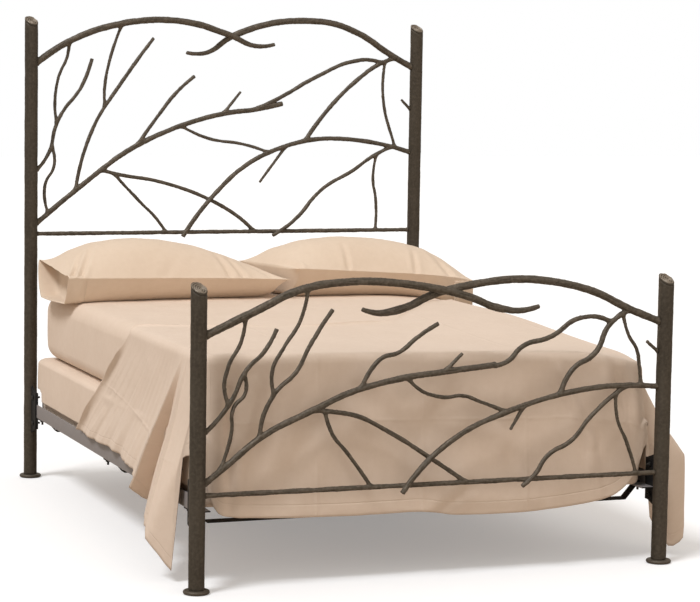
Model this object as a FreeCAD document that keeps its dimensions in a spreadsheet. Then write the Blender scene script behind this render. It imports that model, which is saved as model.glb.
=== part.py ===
import FreeCAD, Part
import math
import os
from FreeCAD import Placement, Rotation, Vector

# Wrought iron bed with twig panels, in millimetres.
# The bed lies along Y, with its foot panel at minus Y. X is to the right seen from the foot, and Z is up.

doc = FreeCAD.newDocument("wrought_iron_bed")
sizes = doc.addObject("Spreadsheet::Sheet", "sizes")

driving_sizes = {
    "post_span": "1600",
    "bed_length": "2160",
    "post_diameter": "51",
    "post_wall": "3",
    "head_height": "1787",
    "foot_height": "960",
    "head_bar_height": "950",
    "foot_bar_height": "303",
    "cap_thickness": "6",
    "cap_slope": "32",
    "cap_turn": "18",
    "foot_disc_diameter": "83",
    "foot_disc_thickness": "12",
    "foot_rim_radius": "5.5",
    "spigot_length": "40",
    "fit_clearance": "0.2",
    "bar_diameter": "16",
    "arch_diameter": "25",
    "arch_tip_diameter": "15",
    "arch_lean": "13",
    "lap_bite": "1",
    "ring_turn": "40",
    "main_bough_diameter": "20",
    "low_bough_diameter": "18",
    "upper_branch_diameter": "17",
    "upper_bough_diameter": "16",
    "right_branch_diameter": "15",
    "low_branch_diameter": "14.5",
    "stem_twig_diameter": "14",
    "twig_diameter": "12",
    "stub_diameter": "13",
    "stub_tip_diameter": "10",
    "rail_leg": "50",
    "rail_thickness": "4",
    "rail_height": "245",
    "bracket_thickness": "6",
    "bracket_reach": "90",
    "bracket_root_height": "200",
    "bracket_end_height": "140",
    "rail_plate_gap": "4",
    "rail_bolt_rise": "50",
    "bolt_diameter": "8",
    "bolt_length": "26",
    "bolt_head_across": "15",
    "bolt_head_height": "5.3",
    "nut_height": "6.5",
    "bolt_hole_clearance": "1",
    "thread_clearance": "0.2",
    "slat_width": "40",
    "slat_thickness": "5",
    "slat_drop": "45",
    "slat_slope_run": "40",
    "slat_tab": "24",
    "slat_end_setback": "40",
    "leg_diameter": "32",
    "leg_clearance": "30",
    "leg_bore_depth": "80",
    "glide_diameter": "45",
    "glide_thickness": "8",
    "glide_stud_diameter": "10",
    "glide_stud_length": "72",
    "glide_clearance": "0.6",
    "bedding_gap": "0.3",
    "foundation_side_clearance": "5.48",
    "foundation_end_clearance": "36.5",
    "foundation_height": "225",
    "foundation_edge": "25",
    "mattress_side_inset": "8",
    "mattress_end_inset": "2",
    "mattress_height": "250",
    "mattress_edge": "60",
    "sheet_thickness": "4",
    "sheet_ease": "0.6",
    "sheet_shoulder": "34",
    "sheet_side_hem": "300",
    "sheet_foot_hem": "205",
    "sheet_flap_hem": "200",
    "sheet_tip_height": "36",
    "sheet_flare": "150",
    "sheet_valley": "96",
    "sheet_side_spread": "38",
    "sheet_foot_spread": "20",
    "sheet_wave": "7",
    "flap_start_setback": "476",
    "flap_ridge_setback": "316",
    "flap_end_setback": "86",
    "corner_hem": "395",
    "sheet_slit_clearance": "6",
    "turn_back_left": "200",
    "turn_back_middle": "330",
    "turn_back_middle_across": "150",
    "turn_back_pillow_gap": "35",
    "turn_back_slope": "880",
    "pillow_length": "800",
    "pillow_depth": "430",
    "pillow_height": "215",
    "pillow_seam_height": "85",
    "pillow_end_height": "95",
    "pillow_draw_in": "14",
    "pillow_gap": "8",
    "pillow_offset": "48",
    "pillow_setback": "11",
}


def fill_sheet():
    for row, (alias, number) in enumerate(driving_sizes.items(), start=1):
        sizes.set(f"A{row}", alias)
        sizes.set(f"B{row}", number)
        sizes.setAlias(f"B{row}", alias)
    doc.recompute()


fill_sheet()


def size(alias):
    return float(sizes.get(alias))


up = Vector(0, 0, 1)
ends = {"foot": -1, "head": 1}
sides = {"left": -1, "right": 1}


# General makers


def bind(solid, expressions):
    for prop, text in expressions.items():
        solid.setExpression(prop, text)
    return solid


def box(name, corner, length, width, height):
    solid = doc.addObject("Part::Box", name)
    solid.Placement = Placement(corner, Rotation())
    return bind(solid, {"Length": length, "Width": width, "Height": height})


def cylinder(name, radius, height, base, axis=up):
    solid = doc.addObject("Part::Cylinder", name)
    solid.Placement = Placement(base, Rotation(up, axis))
    return bind(solid, {"Radius": radius, "Height": height})


def cut(base, tools, label):
    for tool in tools:
        left_over = doc.addObject("Part::Cut", f"{label}_cut")
        left_over.Base = base
        left_over.Tool = tool
        left_over.Refine = False
        base = left_over
    base.Label = label
    return base


def fuse(members, label):
    joined = doc.addObject("Part::MultiFuse", label)
    joined.Shapes = members
    joined.Refine = False
    joined.Label = label
    return joined


def group(members, label):
    set_of_solids = doc.addObject("Part::Compound", label)
    set_of_solids.Links = members
    set_of_solids.Label = label
    return set_of_solids


def rounded(base, edges, radius, label):
    soft = doc.addObject("Part::Fillet", label)
    soft.Base = base
    for index, edge in enumerate(base.Shape.Edges, start=1):
        if any(edge.isSame(own) for own in edges):
            soft.Edges = soft.Edges + [(index, radius, radius)]
    soft.Label = label
    return soft


def sketch(name, geometry, placement):
    drawing = doc.addObject("Sketcher::SketchObject", name)
    drawing.Placement = placement
    drawing.addGeometry(geometry, False)
    return drawing


# Curved routes made of arcs that meet smoothly, two arcs between neighbouring points.
# An arc that turns less than this angle, in radians, is drawn as a line.
straight_turn = 0.002


def reflected(chord, tangent):
    along = Vector(chord).normalize()
    return (along * (2 * along.dot(tangent)) - tangent).normalize()


def route_tangents(points):
    steps = [after - before for before, after in zip(points, points[1:])]
    inner = []
    for before, after in zip(steps, steps[1:]):
        blend = before * (after.Length / before.Length) + after * (before.Length / after.Length)
        inner.append(blend.normalize())
    first = reflected(steps[0], inner[0]) if inner else Vector(steps[0]).normalize()
    last = reflected(steps[-1], inner[-1]) if inner else first
    return [first] + inner + [last]


def tangent_arc(start, tangent, end):
    chord = end - start
    along = Vector(chord).normalize()
    turn = math.acos(max(-1.0, min(1.0, tangent.dot(along))))
    if turn < straight_turn:
        return Part.LineSegment(start, end)
    sideways = (tangent - along * tangent.dot(along)).normalize()
    middle = (start + end) * 0.5 + sideways * (chord.Length / 2 * math.tan(turn / 2))
    return Part.Arc(start, middle, end)


def arc_pair(start, start_tangent, end, end_tangent):
    step = end - start
    both = start_tangent + end_tangent
    opening = 1 - start_tangent.dot(end_tangent)
    if opening < straight_turn**2:
        reach = step.dot(step) / (4 * step.dot(end_tangent))
    else:
        forward = step.dot(both)
        reach = (math.sqrt(forward**2 + 2 * opening * step.dot(step)) - forward) / (2 * opening)
    joint = (start + end + (start_tangent - end_tangent) * reach) * 0.5
    joint_tangent = reflected(joint - start, start_tangent)
    return [tangent_arc(start, start_tangent, joint), tangent_arc(joint, joint_tangent, end)]


def smooth_route(points):
    tangents = route_tangents(points)
    arcs = []
    for index in range(len(points) - 1):
        arcs += arc_pair(points[index], tangents[index], points[index + 1], tangents[index + 1])
    return arcs, tangents


def ring(name, diameter, centre, normal):
    # The turn keeps the tube's seam out of the panel's plane, where other tubes meet it
    circle = doc.addObject("Part::Circle", name)
    circle.Placement = Placement(centre, Rotation(up, normal) * Rotation(up, size("ring_turn")))
    return bind(circle, {"Radius": f"sizes.{diameter} / 2"})


# Twig panels: each point is a share across the panel, from the left post's axis to the right one's,
# and a share up it, from the lower bar's axis to the top of the posts

panel_routes = {
    "head": {
        "arch_left": [(0, 0.765), (0.09, 0.885), (0.225, 0.975), (0.32, 0.995), (0.41, 0.98), (0.49, 0.935),
                      (0.575, 0.88), (0.615, 0.89)],
        "arch_right": [(1, 0.78), (0.94, 0.84), (0.83, 0.96), (0.785, 0.99), (0.695, 1.005), (0.61, 0.99),
                       (0.52, 0.935), (0.425, 0.84), (0.39, 0.845)],
        "main_bough": [(0, 0.025), (0.11, 0.2), (0.26, 0.405), (0.365, 0.495), (0.485, 0.56), (0.58, 0.585),
                       (0.64, 0.61)],
        "low_bough": [(0.38, -0.02), (0.45, 0.155), (0.55, 0.325), (0.635, 0.4), (0.725, 0.44),
                      (0.825, 0.44), (0.915, 0.415), (1, 0.37)],
        "right_upper_branch": [(0.7, 0.43), (0.75, 0.56), (0.825, 0.705), (0.905, 0.81), (0.945, 0.84)],
        "upper_bough": [(0.57, 0.58), (0.63, 0.635), (0.725, 0.735), (0.825, 0.815), (0.865, 0.825),
                        (0.905, 0.815)],
        "low_branch": [(0.175, 0.29), (0.215, 0.275), (0.32, 0.24), (0.45, 0.155), (0.52, 0.08), (0.57, 0)],
        "right_low_branch": [(0.615, -0.02), (0.65, 0.02), (0.765, 0.225), (0.825, 0.285), (0.885, 0.36),
                             (0.935, 0.405)],
        "twig_post_rise": [(0, 0.27), (0.045, 0.38), (0.06, 0.495), (0.135, 0.725), (0.15, 0.81)],
        "twig_arch_drop": [(0.095, 0.885), (0.09, 0.835), (0.065, 0.71), (0.058, 0.585), (0.061, 0.51)],
        "twig_post_drop": [(0.05, 0.41), (0.058, 0.34), (0.033, 0.205), (0.04, 0.1)],
        "twig_main_rise": [(0.11, 0.2), (0.125, 0.34), (0.15, 0.475), (0.24, 0.745), (0.305, 0.91)],
        "twig_main_fork": [(0.18, 0.59), (0.182, 0.69), (0.195, 0.815), (0.225, 0.975)],
        "twig_main_tip": [(0.265, 0.41), (0.31, 0.53), (0.37, 0.67), (0.41, 0.735)],
        "twig_middle_link": [(0.375, 0.5), (0.435, 0.45), (0.55, 0.41), (0.605, 0.375)],
        "twig_bar_drop": [(0.205, 0.28), (0.27, 0.15), (0.315, 0.065), (0.34, 0)],
        "twig_right_link": [(0.915, 0.815), (0.909, 0.715), (0.916, 0.575), (0.934, 0.465), (0.946, 0.405)],
        "twig_right_drop": [(0.895, 0.37), (0.886, 0.26), (0.895, 0.14), (0.895, 0)],
        "stub_main": [(0.485, 0.56), (0.53, 0.665)],
        "stub_low": [(0.65, 0.405), (0.58, 0.235)],
        "stub_post": [(1, 0.56), (0.96, 0.635)],
    },
    "foot": {
        "arch_left": [(0, 0.735), (0.09, 0.835), (0.225, 0.97), (0.305, 0.99), (0.45, 0.965), (0.56, 0.905),
                      (0.62, 0.85), (0.665, 0.835), (0.71, 0.855)],
        "arch_right": [(1, 0.75), (0.93, 0.815), (0.82, 0.93), (0.745, 0.97), (0.685, 0.985), (0.56, 0.96),
                       (0.5, 0.93), (0.405, 0.845), (0.37, 0.835), (0.335, 0.855)],
        "main_bough": [(0, 0.03), (0.055, 0.13), (0.125, 0.26), (0.235, 0.385), (0.31, 0.46),
                       (0.405, 0.515), (0.51, 0.545), (0.62, 0.57)],
        "low_bough": [(0.42, -0.035), (0.48, 0.13), (0.553, 0.252), (0.65, 0.343), (0.748, 0.407),
                      (0.837, 0.44), (0.908, 0.447), (1, 0.43)],
        "right_upper_branch": [(0.763, 0.415), (0.788, 0.53), (0.842, 0.617), (0.872, 0.75), (0.92, 0.825)],
        "upper_bough": [(0.61, 0.567), (0.65, 0.59), (0.672, 0.645), (0.745, 0.705), (0.8, 0.785),
                        (0.835, 0.795), (0.878, 0.76)],
        "low_branch": [(0.234, 0.385), (0.271, 0.373), (0.313, 0.355), (0.41, 0.24), (0.482, 0.129),
                       (0.562, 0)],
        "right_low_branch": [(0.68, -0.03), (0.705, 0.015), (0.735, 0.11), (0.793, 0.19), (0.833, 0.298),
                             (0.915, 0.445)],
        "twig_post_rise": [(0, 0.27), (0.07, 0.455), (0.092, 0.57), (0.137, 0.685), (0.157, 0.775)],
        "twig_arch_drop": [(0.093, 0.838), (0.085, 0.72), (0.06, 0.605), (0.052, 0.51), (0.057, 0.43)],
        "twig_post_drop": [(0.092, 0.565), (0.095, 0.48), (0.072, 0.41), (0.067, 0.285), (0.042, 0.11)],
        "twig_main_rise": [(0.125, 0.26), (0.132, 0.365), (0.155, 0.47), (0.2, 0.575), (0.225, 0.69),
                           (0.272, 0.86)],
        "twig_main_fork": [(0.153, 0.465), (0.149, 0.58), (0.174, 0.695), (0.2, 0.79), (0.22, 0.955)],
        "twig_main_tip": [(0.333, 0.48), (0.35, 0.555), (0.372, 0.615), (0.415, 0.65), (0.45, 0.715),
                          (0.495, 0.78)],
        "twig_middle_link": [(0.43, 0.525), (0.46, 0.458), (0.504, 0.423), (0.552, 0.425), (0.591, 0.39),
                             (0.645, 0.34)],
        "twig_bar_drop": [(0.258, 0.377), (0.273, 0.272), (0.312, 0.153), (0.358, 0)],
        "twig_right_link": [(0.905, 0.8), (0.916, 0.7), (0.936, 0.623), (0.943, 0.533), (0.947, 0.447)],
        "twig_right_drop": [(0.893, 0.4), (0.895, 0.282), (0.918, 0.16), (0.942, 0)],
        "stub_main": [(0.51, 0.545), (0.548, 0.632)],
        "stub_low": [(0.684, 0.365), (0.653, 0.25)],
        "stub_post": [(1, 0.58), (0.958, 0.664)],
    },
}

# Each branch's diameter, what carries its start and its end, and what it is notched round on the way
branch_plan = {
    "main_bough": ("main_bough_diameter", "post_left", None, []),
    "low_bough": ("low_bough_diameter", "lap", "post_right", ["lower_bar"]),
    "right_upper_branch": ("upper_branch_diameter", "low_bough", "arch_right", []),
    "upper_bough": ("upper_bough_diameter", "main_bough", "right_upper_branch", []),
    "low_branch": ("low_branch_diameter", "main_bough", "lower_bar", ["low_bough"]),
    "right_low_branch": ("right_branch_diameter", "lap", "low_bough", ["lower_bar"]),
    "twig_post_rise": ("stem_twig_diameter", "post_left", None, []),
    "twig_arch_drop": ("twig_diameter", "arch_left", "twig_post_rise", []),
    "twig_post_drop": ("twig_diameter", "twig_post_rise", "main_bough", []),
    "twig_main_rise": ("stem_twig_diameter", "main_bough", None, []),
    "twig_main_fork": ("twig_diameter", "twig_main_rise", "arch_left", []),
    "twig_main_tip": ("stem_twig_diameter", "main_bough", None, []),
    "twig_middle_link": ("twig_diameter", "main_bough", "low_bough", []),
    "twig_bar_drop": ("twig_diameter", "low_branch", "lower_bar", []),
    "twig_right_link": ("twig_diameter", "right_upper_branch", "low_bough", ["upper_bough"]),
    "twig_right_drop": ("twig_diameter", "right_low_branch", "lower_bar", []),
}
stub_plan = {"stub_main": "main_bough", "stub_low": "low_bough", "stub_post": "post_right"}


# One end of the bed: where it stands, and the axis and uncut solid of each piece made so far
class Panel:
    def __init__(self, end):
        self.end = end
        self.place = ends[end] * size("bed_length") / 2
        self.top = size(f"{end}_height")
        self.bar = size(f"{end}_bar_height")
        self.routes = panel_routes[end]
        self.axes = {}
        self.solids = {}
        self.nodes = {}

    def point(self, share):
        across, rise = share
        x = (across - 0.5) * size("post_span")
        return Vector(x, self.place, self.bar + rise * (self.top - self.bar))

    def name(self, piece):
        return f"{self.end}_{piece}"


def nearest_on(axis, point):
    return axis.distToShape(Part.Vertex(point))[1][0][0]


def leaned(points, start_offset, end_offset):
    chord = points[-1] - points[0]
    span = chord.dot(chord)
    lean = []
    for point in points:
        share = (point - points[0]).dot(chord) / span
        lean.append(point + Vector(0, start_offset + share * (end_offset - start_offset), 0))
    return lean


def seated_route(panel, piece, start_on, end_on, lap_offset):
    points = [panel.point(share) for share in panel.routes[piece]]
    offsets = [0, 0]
    for index, carrier in ((0, start_on), (-1, end_on)):
        if carrier == "lap":
            offsets[index] = -lap_offset
        elif carrier:
            seat = nearest_on(panel.axes[carrier], points[index])
            offsets[index] = seat.y - panel.place
            points[index] = Vector(seat.x, panel.place, seat.z)
    return leaned(points, *offsets)


def route_sketch(name, arcs, points):
    chord = (points[-1] - points[0]).normalize()
    offsets = [chord.cross(point - points[0]) for point in points]
    normal = max(offsets, key=lambda offset: offset.Length)
    plane = Placement(points[0], Rotation(chord, normal.cross(chord), normal, "XZY"))
    to_plane = plane.inverse().toMatrix()
    drawn = []
    for arc in arcs:
        flat_arc = arc.copy()
        flat_arc.transform(to_plane)
        drawn.append(flat_arc)
    return sketch(name, drawn, plane)


def tube_along(name, arcs, points, rings):
    tube = doc.addObject("Part::Sweep", f"{name}_round")
    tube.Sections = rings
    tube.Spine = (route_sketch(f"{name}_route", arcs, points), [])
    tube.Solid = True
    return tube


def swept(panel, piece, points, diameter, tip_diameter=None):
    arcs, tangents = smooth_route(points)
    name = panel.name(piece)
    panel.axes[piece] = Part.Wire([arc.toShape() for arc in arcs])
    neck = len(points) - 3 if tip_diameter else len(points) - 1
    start = ring(f"{name}_ring", diameter, points[0], tangents[0])
    tube = tube_along(name, arcs[: 2 * neck], points[: neck + 1], [start])
    if tip_diameter:
        wide = ring(f"{name}_neck_ring", diameter, points[neck], tangents[neck])
        narrow = ring(f"{name}_tip_ring", tip_diameter, points[-1], tangents[-1])
        tip = tube_along(f"{name}_tip", arcs[2 * neck :], points[neck:], [wide, narrow])
        tube = fuse([tube, tip], f"{name}_whole")
    panel.solids[piece] = tube
    return tube


def make_post(panel, side):
    axis_place = Vector(sides[side] * size("post_span") / 2, panel.place, 0)
    base = axis_place + Vector(0, 0, size("foot_disc_thickness"))
    name = panel.name(f"post_{side}")
    height = f"sizes.{panel.end}_height - sizes.foot_disc_thickness"
    whole = cylinder(f"{name}_round", "sizes.post_diameter / 2", height, base)
    bore = cylinder(f"{name}_bore", "sizes.post_diameter / 2 - sizes.post_wall", height, base)
    slope = math.radians(size("cap_slope"))
    turn = math.radians(size("cap_turn"))
    facing = Vector(math.sin(slope) * math.sin(turn), -math.sin(slope) * math.cos(turn), math.cos(slope))
    middle = axis_place + Vector(0, 0, panel.top - size("post_diameter") / 2 * math.tan(slope))
    seat = middle - facing * size("cap_thickness")
    slab = cylinder(f"{name}_cap_slab", "sizes.post_diameter", "sizes.cap_thickness", seat, facing)
    above = cylinder(f"{name}_above", "sizes.post_diameter", "sizes.post_diameter", seat, facing)
    cap = doc.addObject("Part::Common", f"{name}_cap")
    cap.Base = whole
    cap.Tool = slab
    panel.solids[f"post_{side}"] = whole
    panel.axes[f"post_{side}"] = Part.makeLine(axis_place, axis_place + Vector(0, 0, panel.top))
    panel.nodes[f"post_{side}"] = cut(whole, [bore, above], name)
    return cap


def make_foot(panel, side):
    name = panel.name(f"foot_{side}")
    place = Vector(sides[side] * size("post_span") / 2, panel.place, 0)
    top = place + Vector(0, 0, size("foot_disc_thickness"))
    disc = cylinder(f"{name}_disc", "sizes.foot_disc_diameter / 2", "sizes.foot_disc_thickness", place)
    doc.recompute()
    rims = [edge for edge in disc.Shape.Edges if isinstance(edge.Curve, Part.Circle)]
    soft_disc = rounded(disc, rims, size("foot_rim_radius"), f"{name}_round_disc")
    spigot_radius = "sizes.post_diameter / 2 - sizes.post_wall - sizes.fit_clearance"
    spigot = cylinder(f"{name}_spigot", spigot_radius, "sizes.spigot_length", top)
    return fuse([soft_disc, spigot], name)


def make_bar(panel):
    start = panel.point((0, 0))
    across = Vector(1, 0, 0)
    bar = cylinder(panel.name("bar_round"), "sizes.bar_diameter / 2", "sizes.post_span", start, across)
    panel.solids["lower_bar"] = bar
    panel.axes["lower_bar"] = Part.makeLine(start, panel.point((1, 0)))
    posts = [panel.solids["post_left"], panel.solids["post_right"]]
    panel.nodes["lower_bar"] = cut(bar, posts, panel.name("lower_bar"))


def make_arches(panel):
    lean = {"left": -size("arch_lean"), "right": size("arch_lean")}
    for side in sides:
        piece = f"arch_{side}"
        points = leaned([panel.point(share) for share in panel.routes[piece]], 0, lean[side])
        tube = swept(panel, piece, points, "arch_diameter", "arch_tip_diameter")
        met = [panel.solids[f"post_{side}"]]
        if side == "right":
            met.append(panel.solids["arch_left"])
        panel.nodes[piece] = cut(tube, met, panel.name(piece))


def make_branches(panel):
    for piece, (diameter, start_on, end_on, notched_by) in branch_plan.items():
        lap_offset = (size("bar_diameter") + size(diameter)) / 2 - size("lap_bite")
        points = seated_route(panel, piece, start_on, end_on, lap_offset)
        tube = swept(panel, piece, points, diameter)
        carriers = [carrier for carrier in (start_on, end_on) if carrier and carrier != "lap"]
        met = [panel.solids[carrier] for carrier in carriers + notched_by]
        panel.nodes[piece] = cut(tube, met, panel.name(piece))


def make_stubs(panel):
    stubs = []
    for piece, carrier in stub_plan.items():
        root, tip = [panel.point(share) for share in panel.routes[piece]]
        seat = nearest_on(panel.axes[carrier], root)
        tip.y = seat.y
        name = panel.name(piece)
        cone = doc.addObject("Part::Cone", f"{name}_round")
        cone.Placement = Placement(seat, Rotation(up, tip - seat))
        cone.Height = (tip - seat).Length
        bind(cone, {"Radius1": "sizes.stub_diameter / 2", "Radius2": "sizes.stub_tip_diameter / 2"})
        stubs.append(cut(cone, [panel.solids[carrier]], name))
    panel.nodes["stubs"] = group(stubs, panel.name("stubs"))


# Frame between the panels


# A bolt's seat, the direction it points in, and the thickness that it clamps
class Fastening:
    def __init__(self, seat, axis, grip):
        self.seat = seat
        self.axis = axis
        self.grip = grip

    def hole(self, name):
        radius = "(sizes.bolt_diameter + sizes.bolt_hole_clearance) / 2"
        return cylinder(name, radius, "sizes.bolt_length", self.seat - self.axis, self.axis)


def rail_fastenings():
    middle = size("rail_height") + size("rail_leg") / 2
    grip = 2 * size("bracket_thickness")
    along = (size("post_diameter") / 2 + size("bracket_reach")) / 2
    found = {}
    for side, side_sign in sides.items():
        for end, end_sign in ends.items():
            inward = Vector(-side_sign, 0, 0)
            x = side_sign * (size("post_span") / 2 + size("bracket_thickness") / 2)
            y = end_sign * (size("bed_length") / 2 - along)
            heights = [middle - size("rail_bolt_rise"), middle + size("rail_bolt_rise")]
            found[side, end] = [Fastening(Vector(x, y, z), inward, grip) for z in heights]
    return found


def slat_spacing():
    # The end slats lie clear of the rail's end plates
    return size("bed_length") / 2 - size("bracket_reach") - size("slat_end_setback")


def slat_fastenings():
    grip = size("rail_thickness") + size("slat_thickness")
    z = size("rail_height") + size("rail_thickness")
    inset = size("bracket_thickness") / 2 + size("rail_thickness") + size("bolt_head_across") / math.sqrt(3)
    x = size("post_span") / 2 - inset - size("fit_clearance")
    found = {}
    for side, side_sign in sides.items():
        for row in (-1, 0, 1):
            seat = Vector(side_sign * x, row * slat_spacing(), z)
            found[side, row] = [Fastening(seat, Vector(0, 0, -1), grip)]
    return found


def make_bracket(panel, side, fastenings):
    name = panel.name(f"bracket_{side}")
    middle = size("rail_height") + size("rail_leg") / 2
    place = Vector(sides[side] * size("post_span") / 2, panel.place, middle)
    turn = 180 if panel.end == "head" else 0
    ear = doc.addObject("Part::Wedge", f"{name}_plate")
    ear.Placement = Placement(place, Rotation(up, turn))
    root = "sizes.bracket_root_height / 2"
    tip = "sizes.bracket_end_height / 2"
    half = "sizes.bracket_thickness / 2"
    bind(ear, {"Xmin": f"-{half}", "Xmax": half, "X2min": f"-{half}", "X2max": half})
    bind(ear, {"Zmin": f"-{root}", "Zmax": root, "Z2min": f"-{tip}", "Z2max": tip})
    bind(ear, {"Ymin": "0", "Ymax": "sizes.bracket_reach"})
    holes = [item.hole(f"{name}_hole") for item in fastenings]
    return cut(ear, [panel.solids[f"post_{side}"]] + holes, name)


def make_rail(side, fastenings):
    name = f"side_rail_{side}"
    sign = sides[side]
    inner = size("post_span") / 2 - size("bracket_thickness") / 2
    start = size("bed_length") / 2 - size("post_diameter") / 2 - size("rail_plate_gap")
    length = "sizes.bed_length - sizes.post_diameter - 2 * sizes.rail_plate_gap"
    plate_width = "sizes.bracket_reach - sizes.post_diameter / 2 - sizes.rail_plate_gap"
    plate_bottom = size("rail_height") + (size("rail_leg") - size("bracket_end_height")) / 2

    def corner(thickness, y, z):
        x = inner - thickness if sign > 0 else -inner
        return Vector(x, y, z)

    web = box(f"{name}_web", corner(size("rail_thickness"), -start, size("rail_height")),
              "sizes.rail_thickness", length, "sizes.rail_leg")
    flange = box(f"{name}_flange", corner(size("rail_leg"), -start, size("rail_height")),
                 "sizes.rail_leg", length, "sizes.rail_thickness")
    plates = []
    for y in (-start, start - size("bracket_reach") + size("post_diameter") / 2 + size("rail_plate_gap")):
        plates.append(box(f"{name}_plate", corner(size("bracket_thickness"), y, plate_bottom),
                          "sizes.bracket_thickness", plate_width, "sizes.bracket_end_height"))
    whole = fuse([web, flange] + plates, f"{name}_whole")
    return cut(whole, [item.hole(f"{name}_hole") for item in fastenings], name)


def make_slat(row, fastenings):
    name = f"cross_slat_{row + 2}"
    thickness = size("slat_thickness")
    top = size("rail_height")
    low = top - size("slat_drop")
    outer = abs(fastenings[0].seat.x) + size("slat_tab") / 2
    bend = outer - size("slat_tab")
    inner = bend - size("slat_slope_run")
    shift = thickness * math.tan(math.atan2(size("slat_drop"), size("slat_slope_run")) / 2)
    under = [(inner - shift, low - thickness), (bend - shift, top - thickness), (outer, top - thickness)]
    right = under + [(outer, top), (bend, top), (inner, low)]
    outline = right + [(-x, z) for x, z in reversed(right)]
    corners = [Vector(x, z, 0) for x, z in outline]
    edges = [Part.LineSegment(a, b) for a, b in zip(corners, corners[1:] + corners[:1])]
    place = Vector(0, row * slat_spacing(), 0)
    drawing = sketch(f"{name}_outline", edges, Placement(place, Rotation(Vector(1, 0, 0), 90)))
    strip = doc.addObject("Part::Extrusion", f"{name}_strip")
    strip.Base = drawing
    strip.DirMode = "Normal"
    strip.Solid = True
    strip.Symmetric = True
    bind(strip, {"LengthFwd": "sizes.slat_width"})
    return cut(strip, [item.hole(f"{name}_hole") for item in fastenings], name)


def make_bolt(item, index):
    name = f"frame_bolt_{index}"
    head = doc.addObject("Part::Prism", f"{name}_head")
    head.Polygon = 6
    bind(head, {"Circumradius": "sizes.bolt_head_across / sqrt(3)", "Height": "sizes.bolt_head_height"})
    head.Placement = Placement(item.seat, Rotation(up, -item.axis))
    shank = cylinder(f"{name}_shank", "sizes.bolt_diameter / 2", "sizes.bolt_length", item.seat, item.axis)
    return fuse([head, shank], name)


def make_nut(item, index):
    name = f"frame_nut_{index}"
    seat = item.seat + item.axis * item.grip
    whole = doc.addObject("Part::Prism", f"{name}_whole")
    whole.Polygon = 6
    bind(whole, {"Circumradius": "sizes.bolt_head_across / sqrt(3)", "Height": "sizes.nut_height"})
    whole.Placement = Placement(seat, Rotation(up, item.axis))
    radius = "sizes.bolt_diameter / 2 + sizes.thread_clearance"
    thread = cylinder(f"{name}_thread", radius, "sizes.bolt_length", item.seat, item.axis)
    return cut(whole, [thread], name)


def make_centre_leg():
    base = Vector(0, 0, size("leg_clearance"))
    height = "sizes.rail_height - sizes.slat_drop - sizes.slat_thickness - sizes.leg_clearance"
    tube = cylinder("centre_leg_round", "sizes.leg_diameter / 2", height, base)
    bore_radius = "sizes.glide_stud_diameter / 2 + sizes.glide_clearance"
    bore = cylinder("centre_leg_bore", bore_radius, "sizes.leg_bore_depth", base)
    disc = cylinder("centre_glide_disc", "sizes.glide_diameter / 2", "sizes.glide_thickness", Vector())
    stud_base = Vector(0, 0, size("glide_thickness"))
    stud_radius = "sizes.glide_stud_diameter / 2"
    stud = cylinder("centre_glide_stud", stud_radius, "sizes.glide_stud_length", stud_base)
    return [cut(tube, [bore], "centre_leg"), fuse([disc, stud], "centre_glide")]


# Bedding


# The foundation lies between the slats' bolt heads and between the posts, and the mattress lies on it
bed_spans = {
    "foundation": (
        "sizes.post_span - sizes.bracket_thickness - 4 * sizes.bolt_head_across / sqrt(3)"
        " - 2 * (sizes.rail_thickness + sizes.fit_clearance + sizes.foundation_side_clearance)",
        "sizes.bed_length - sizes.post_diameter - 2 * sizes.foundation_end_clearance",
    ),
    "mattress": (
        "foundation_block.Length.Value - 2 * sizes.mattress_side_inset",
        "foundation_block.Width.Value - 2 * sizes.mattress_end_inset",
    ),
}


def bed_block(name, bottom):
    block = box(f"{name}_block", Vector(), *bed_spans[name], f"sizes.{name}_height")
    doc.recompute()
    corner = Vector(-block.Length.Value / 2, -block.Width.Value / 2, bottom)
    block.Placement = Placement(corner, Rotation())
    doc.recompute()
    return rounded(block, block.Shape.Edges, size(f"{name}_edge"), name)


def mattress_half_width():
    return doc.getObject("mattress_block").Length.Value / 2


def mattress_half_length():
    return doc.getObject("mattress_block").Width.Value / 2


def pillow_middle():
    return mattress_half_length() - size("pillow_setback") - size("pillow_depth") / 2


def foundation_bottom():
    return size("rail_height") + size("rail_thickness") + size("bedding_gap")


def mattress_bottom():
    return foundation_bottom() + size("foundation_height") + size("bedding_gap")


def mattress_top():
    return mattress_bottom() + size("mattress_height")


# Folds of the top sheet, as arcs that swell out or draw in, from its head edge round to the foot
side_folds = [1, -1, 1, -1]
flap_folds = [1, 1, 0, 0]
foot_folds = [1, -1, 1, -1, 1]
open_end_share = 6
right_rise_share = 0.4


def chain(corners, bulges):
    edges = []
    for start, end, bulge in zip(corners, corners[1:] + corners[:1], bulges):
        if bulge == 0:
            edges.append(Part.LineSegment(start, end))
            continue
        outward = (end - start).cross(up).normalize()
        edges.append(Part.Arc(start, (start + end) * 0.5 + outward * bulge, end))
    return edges


def between(start, end, share):
    return start + (end - start) * share


def flap_place(part):
    return size(f"flap_{part}_setback") - mattress_half_length()


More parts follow.
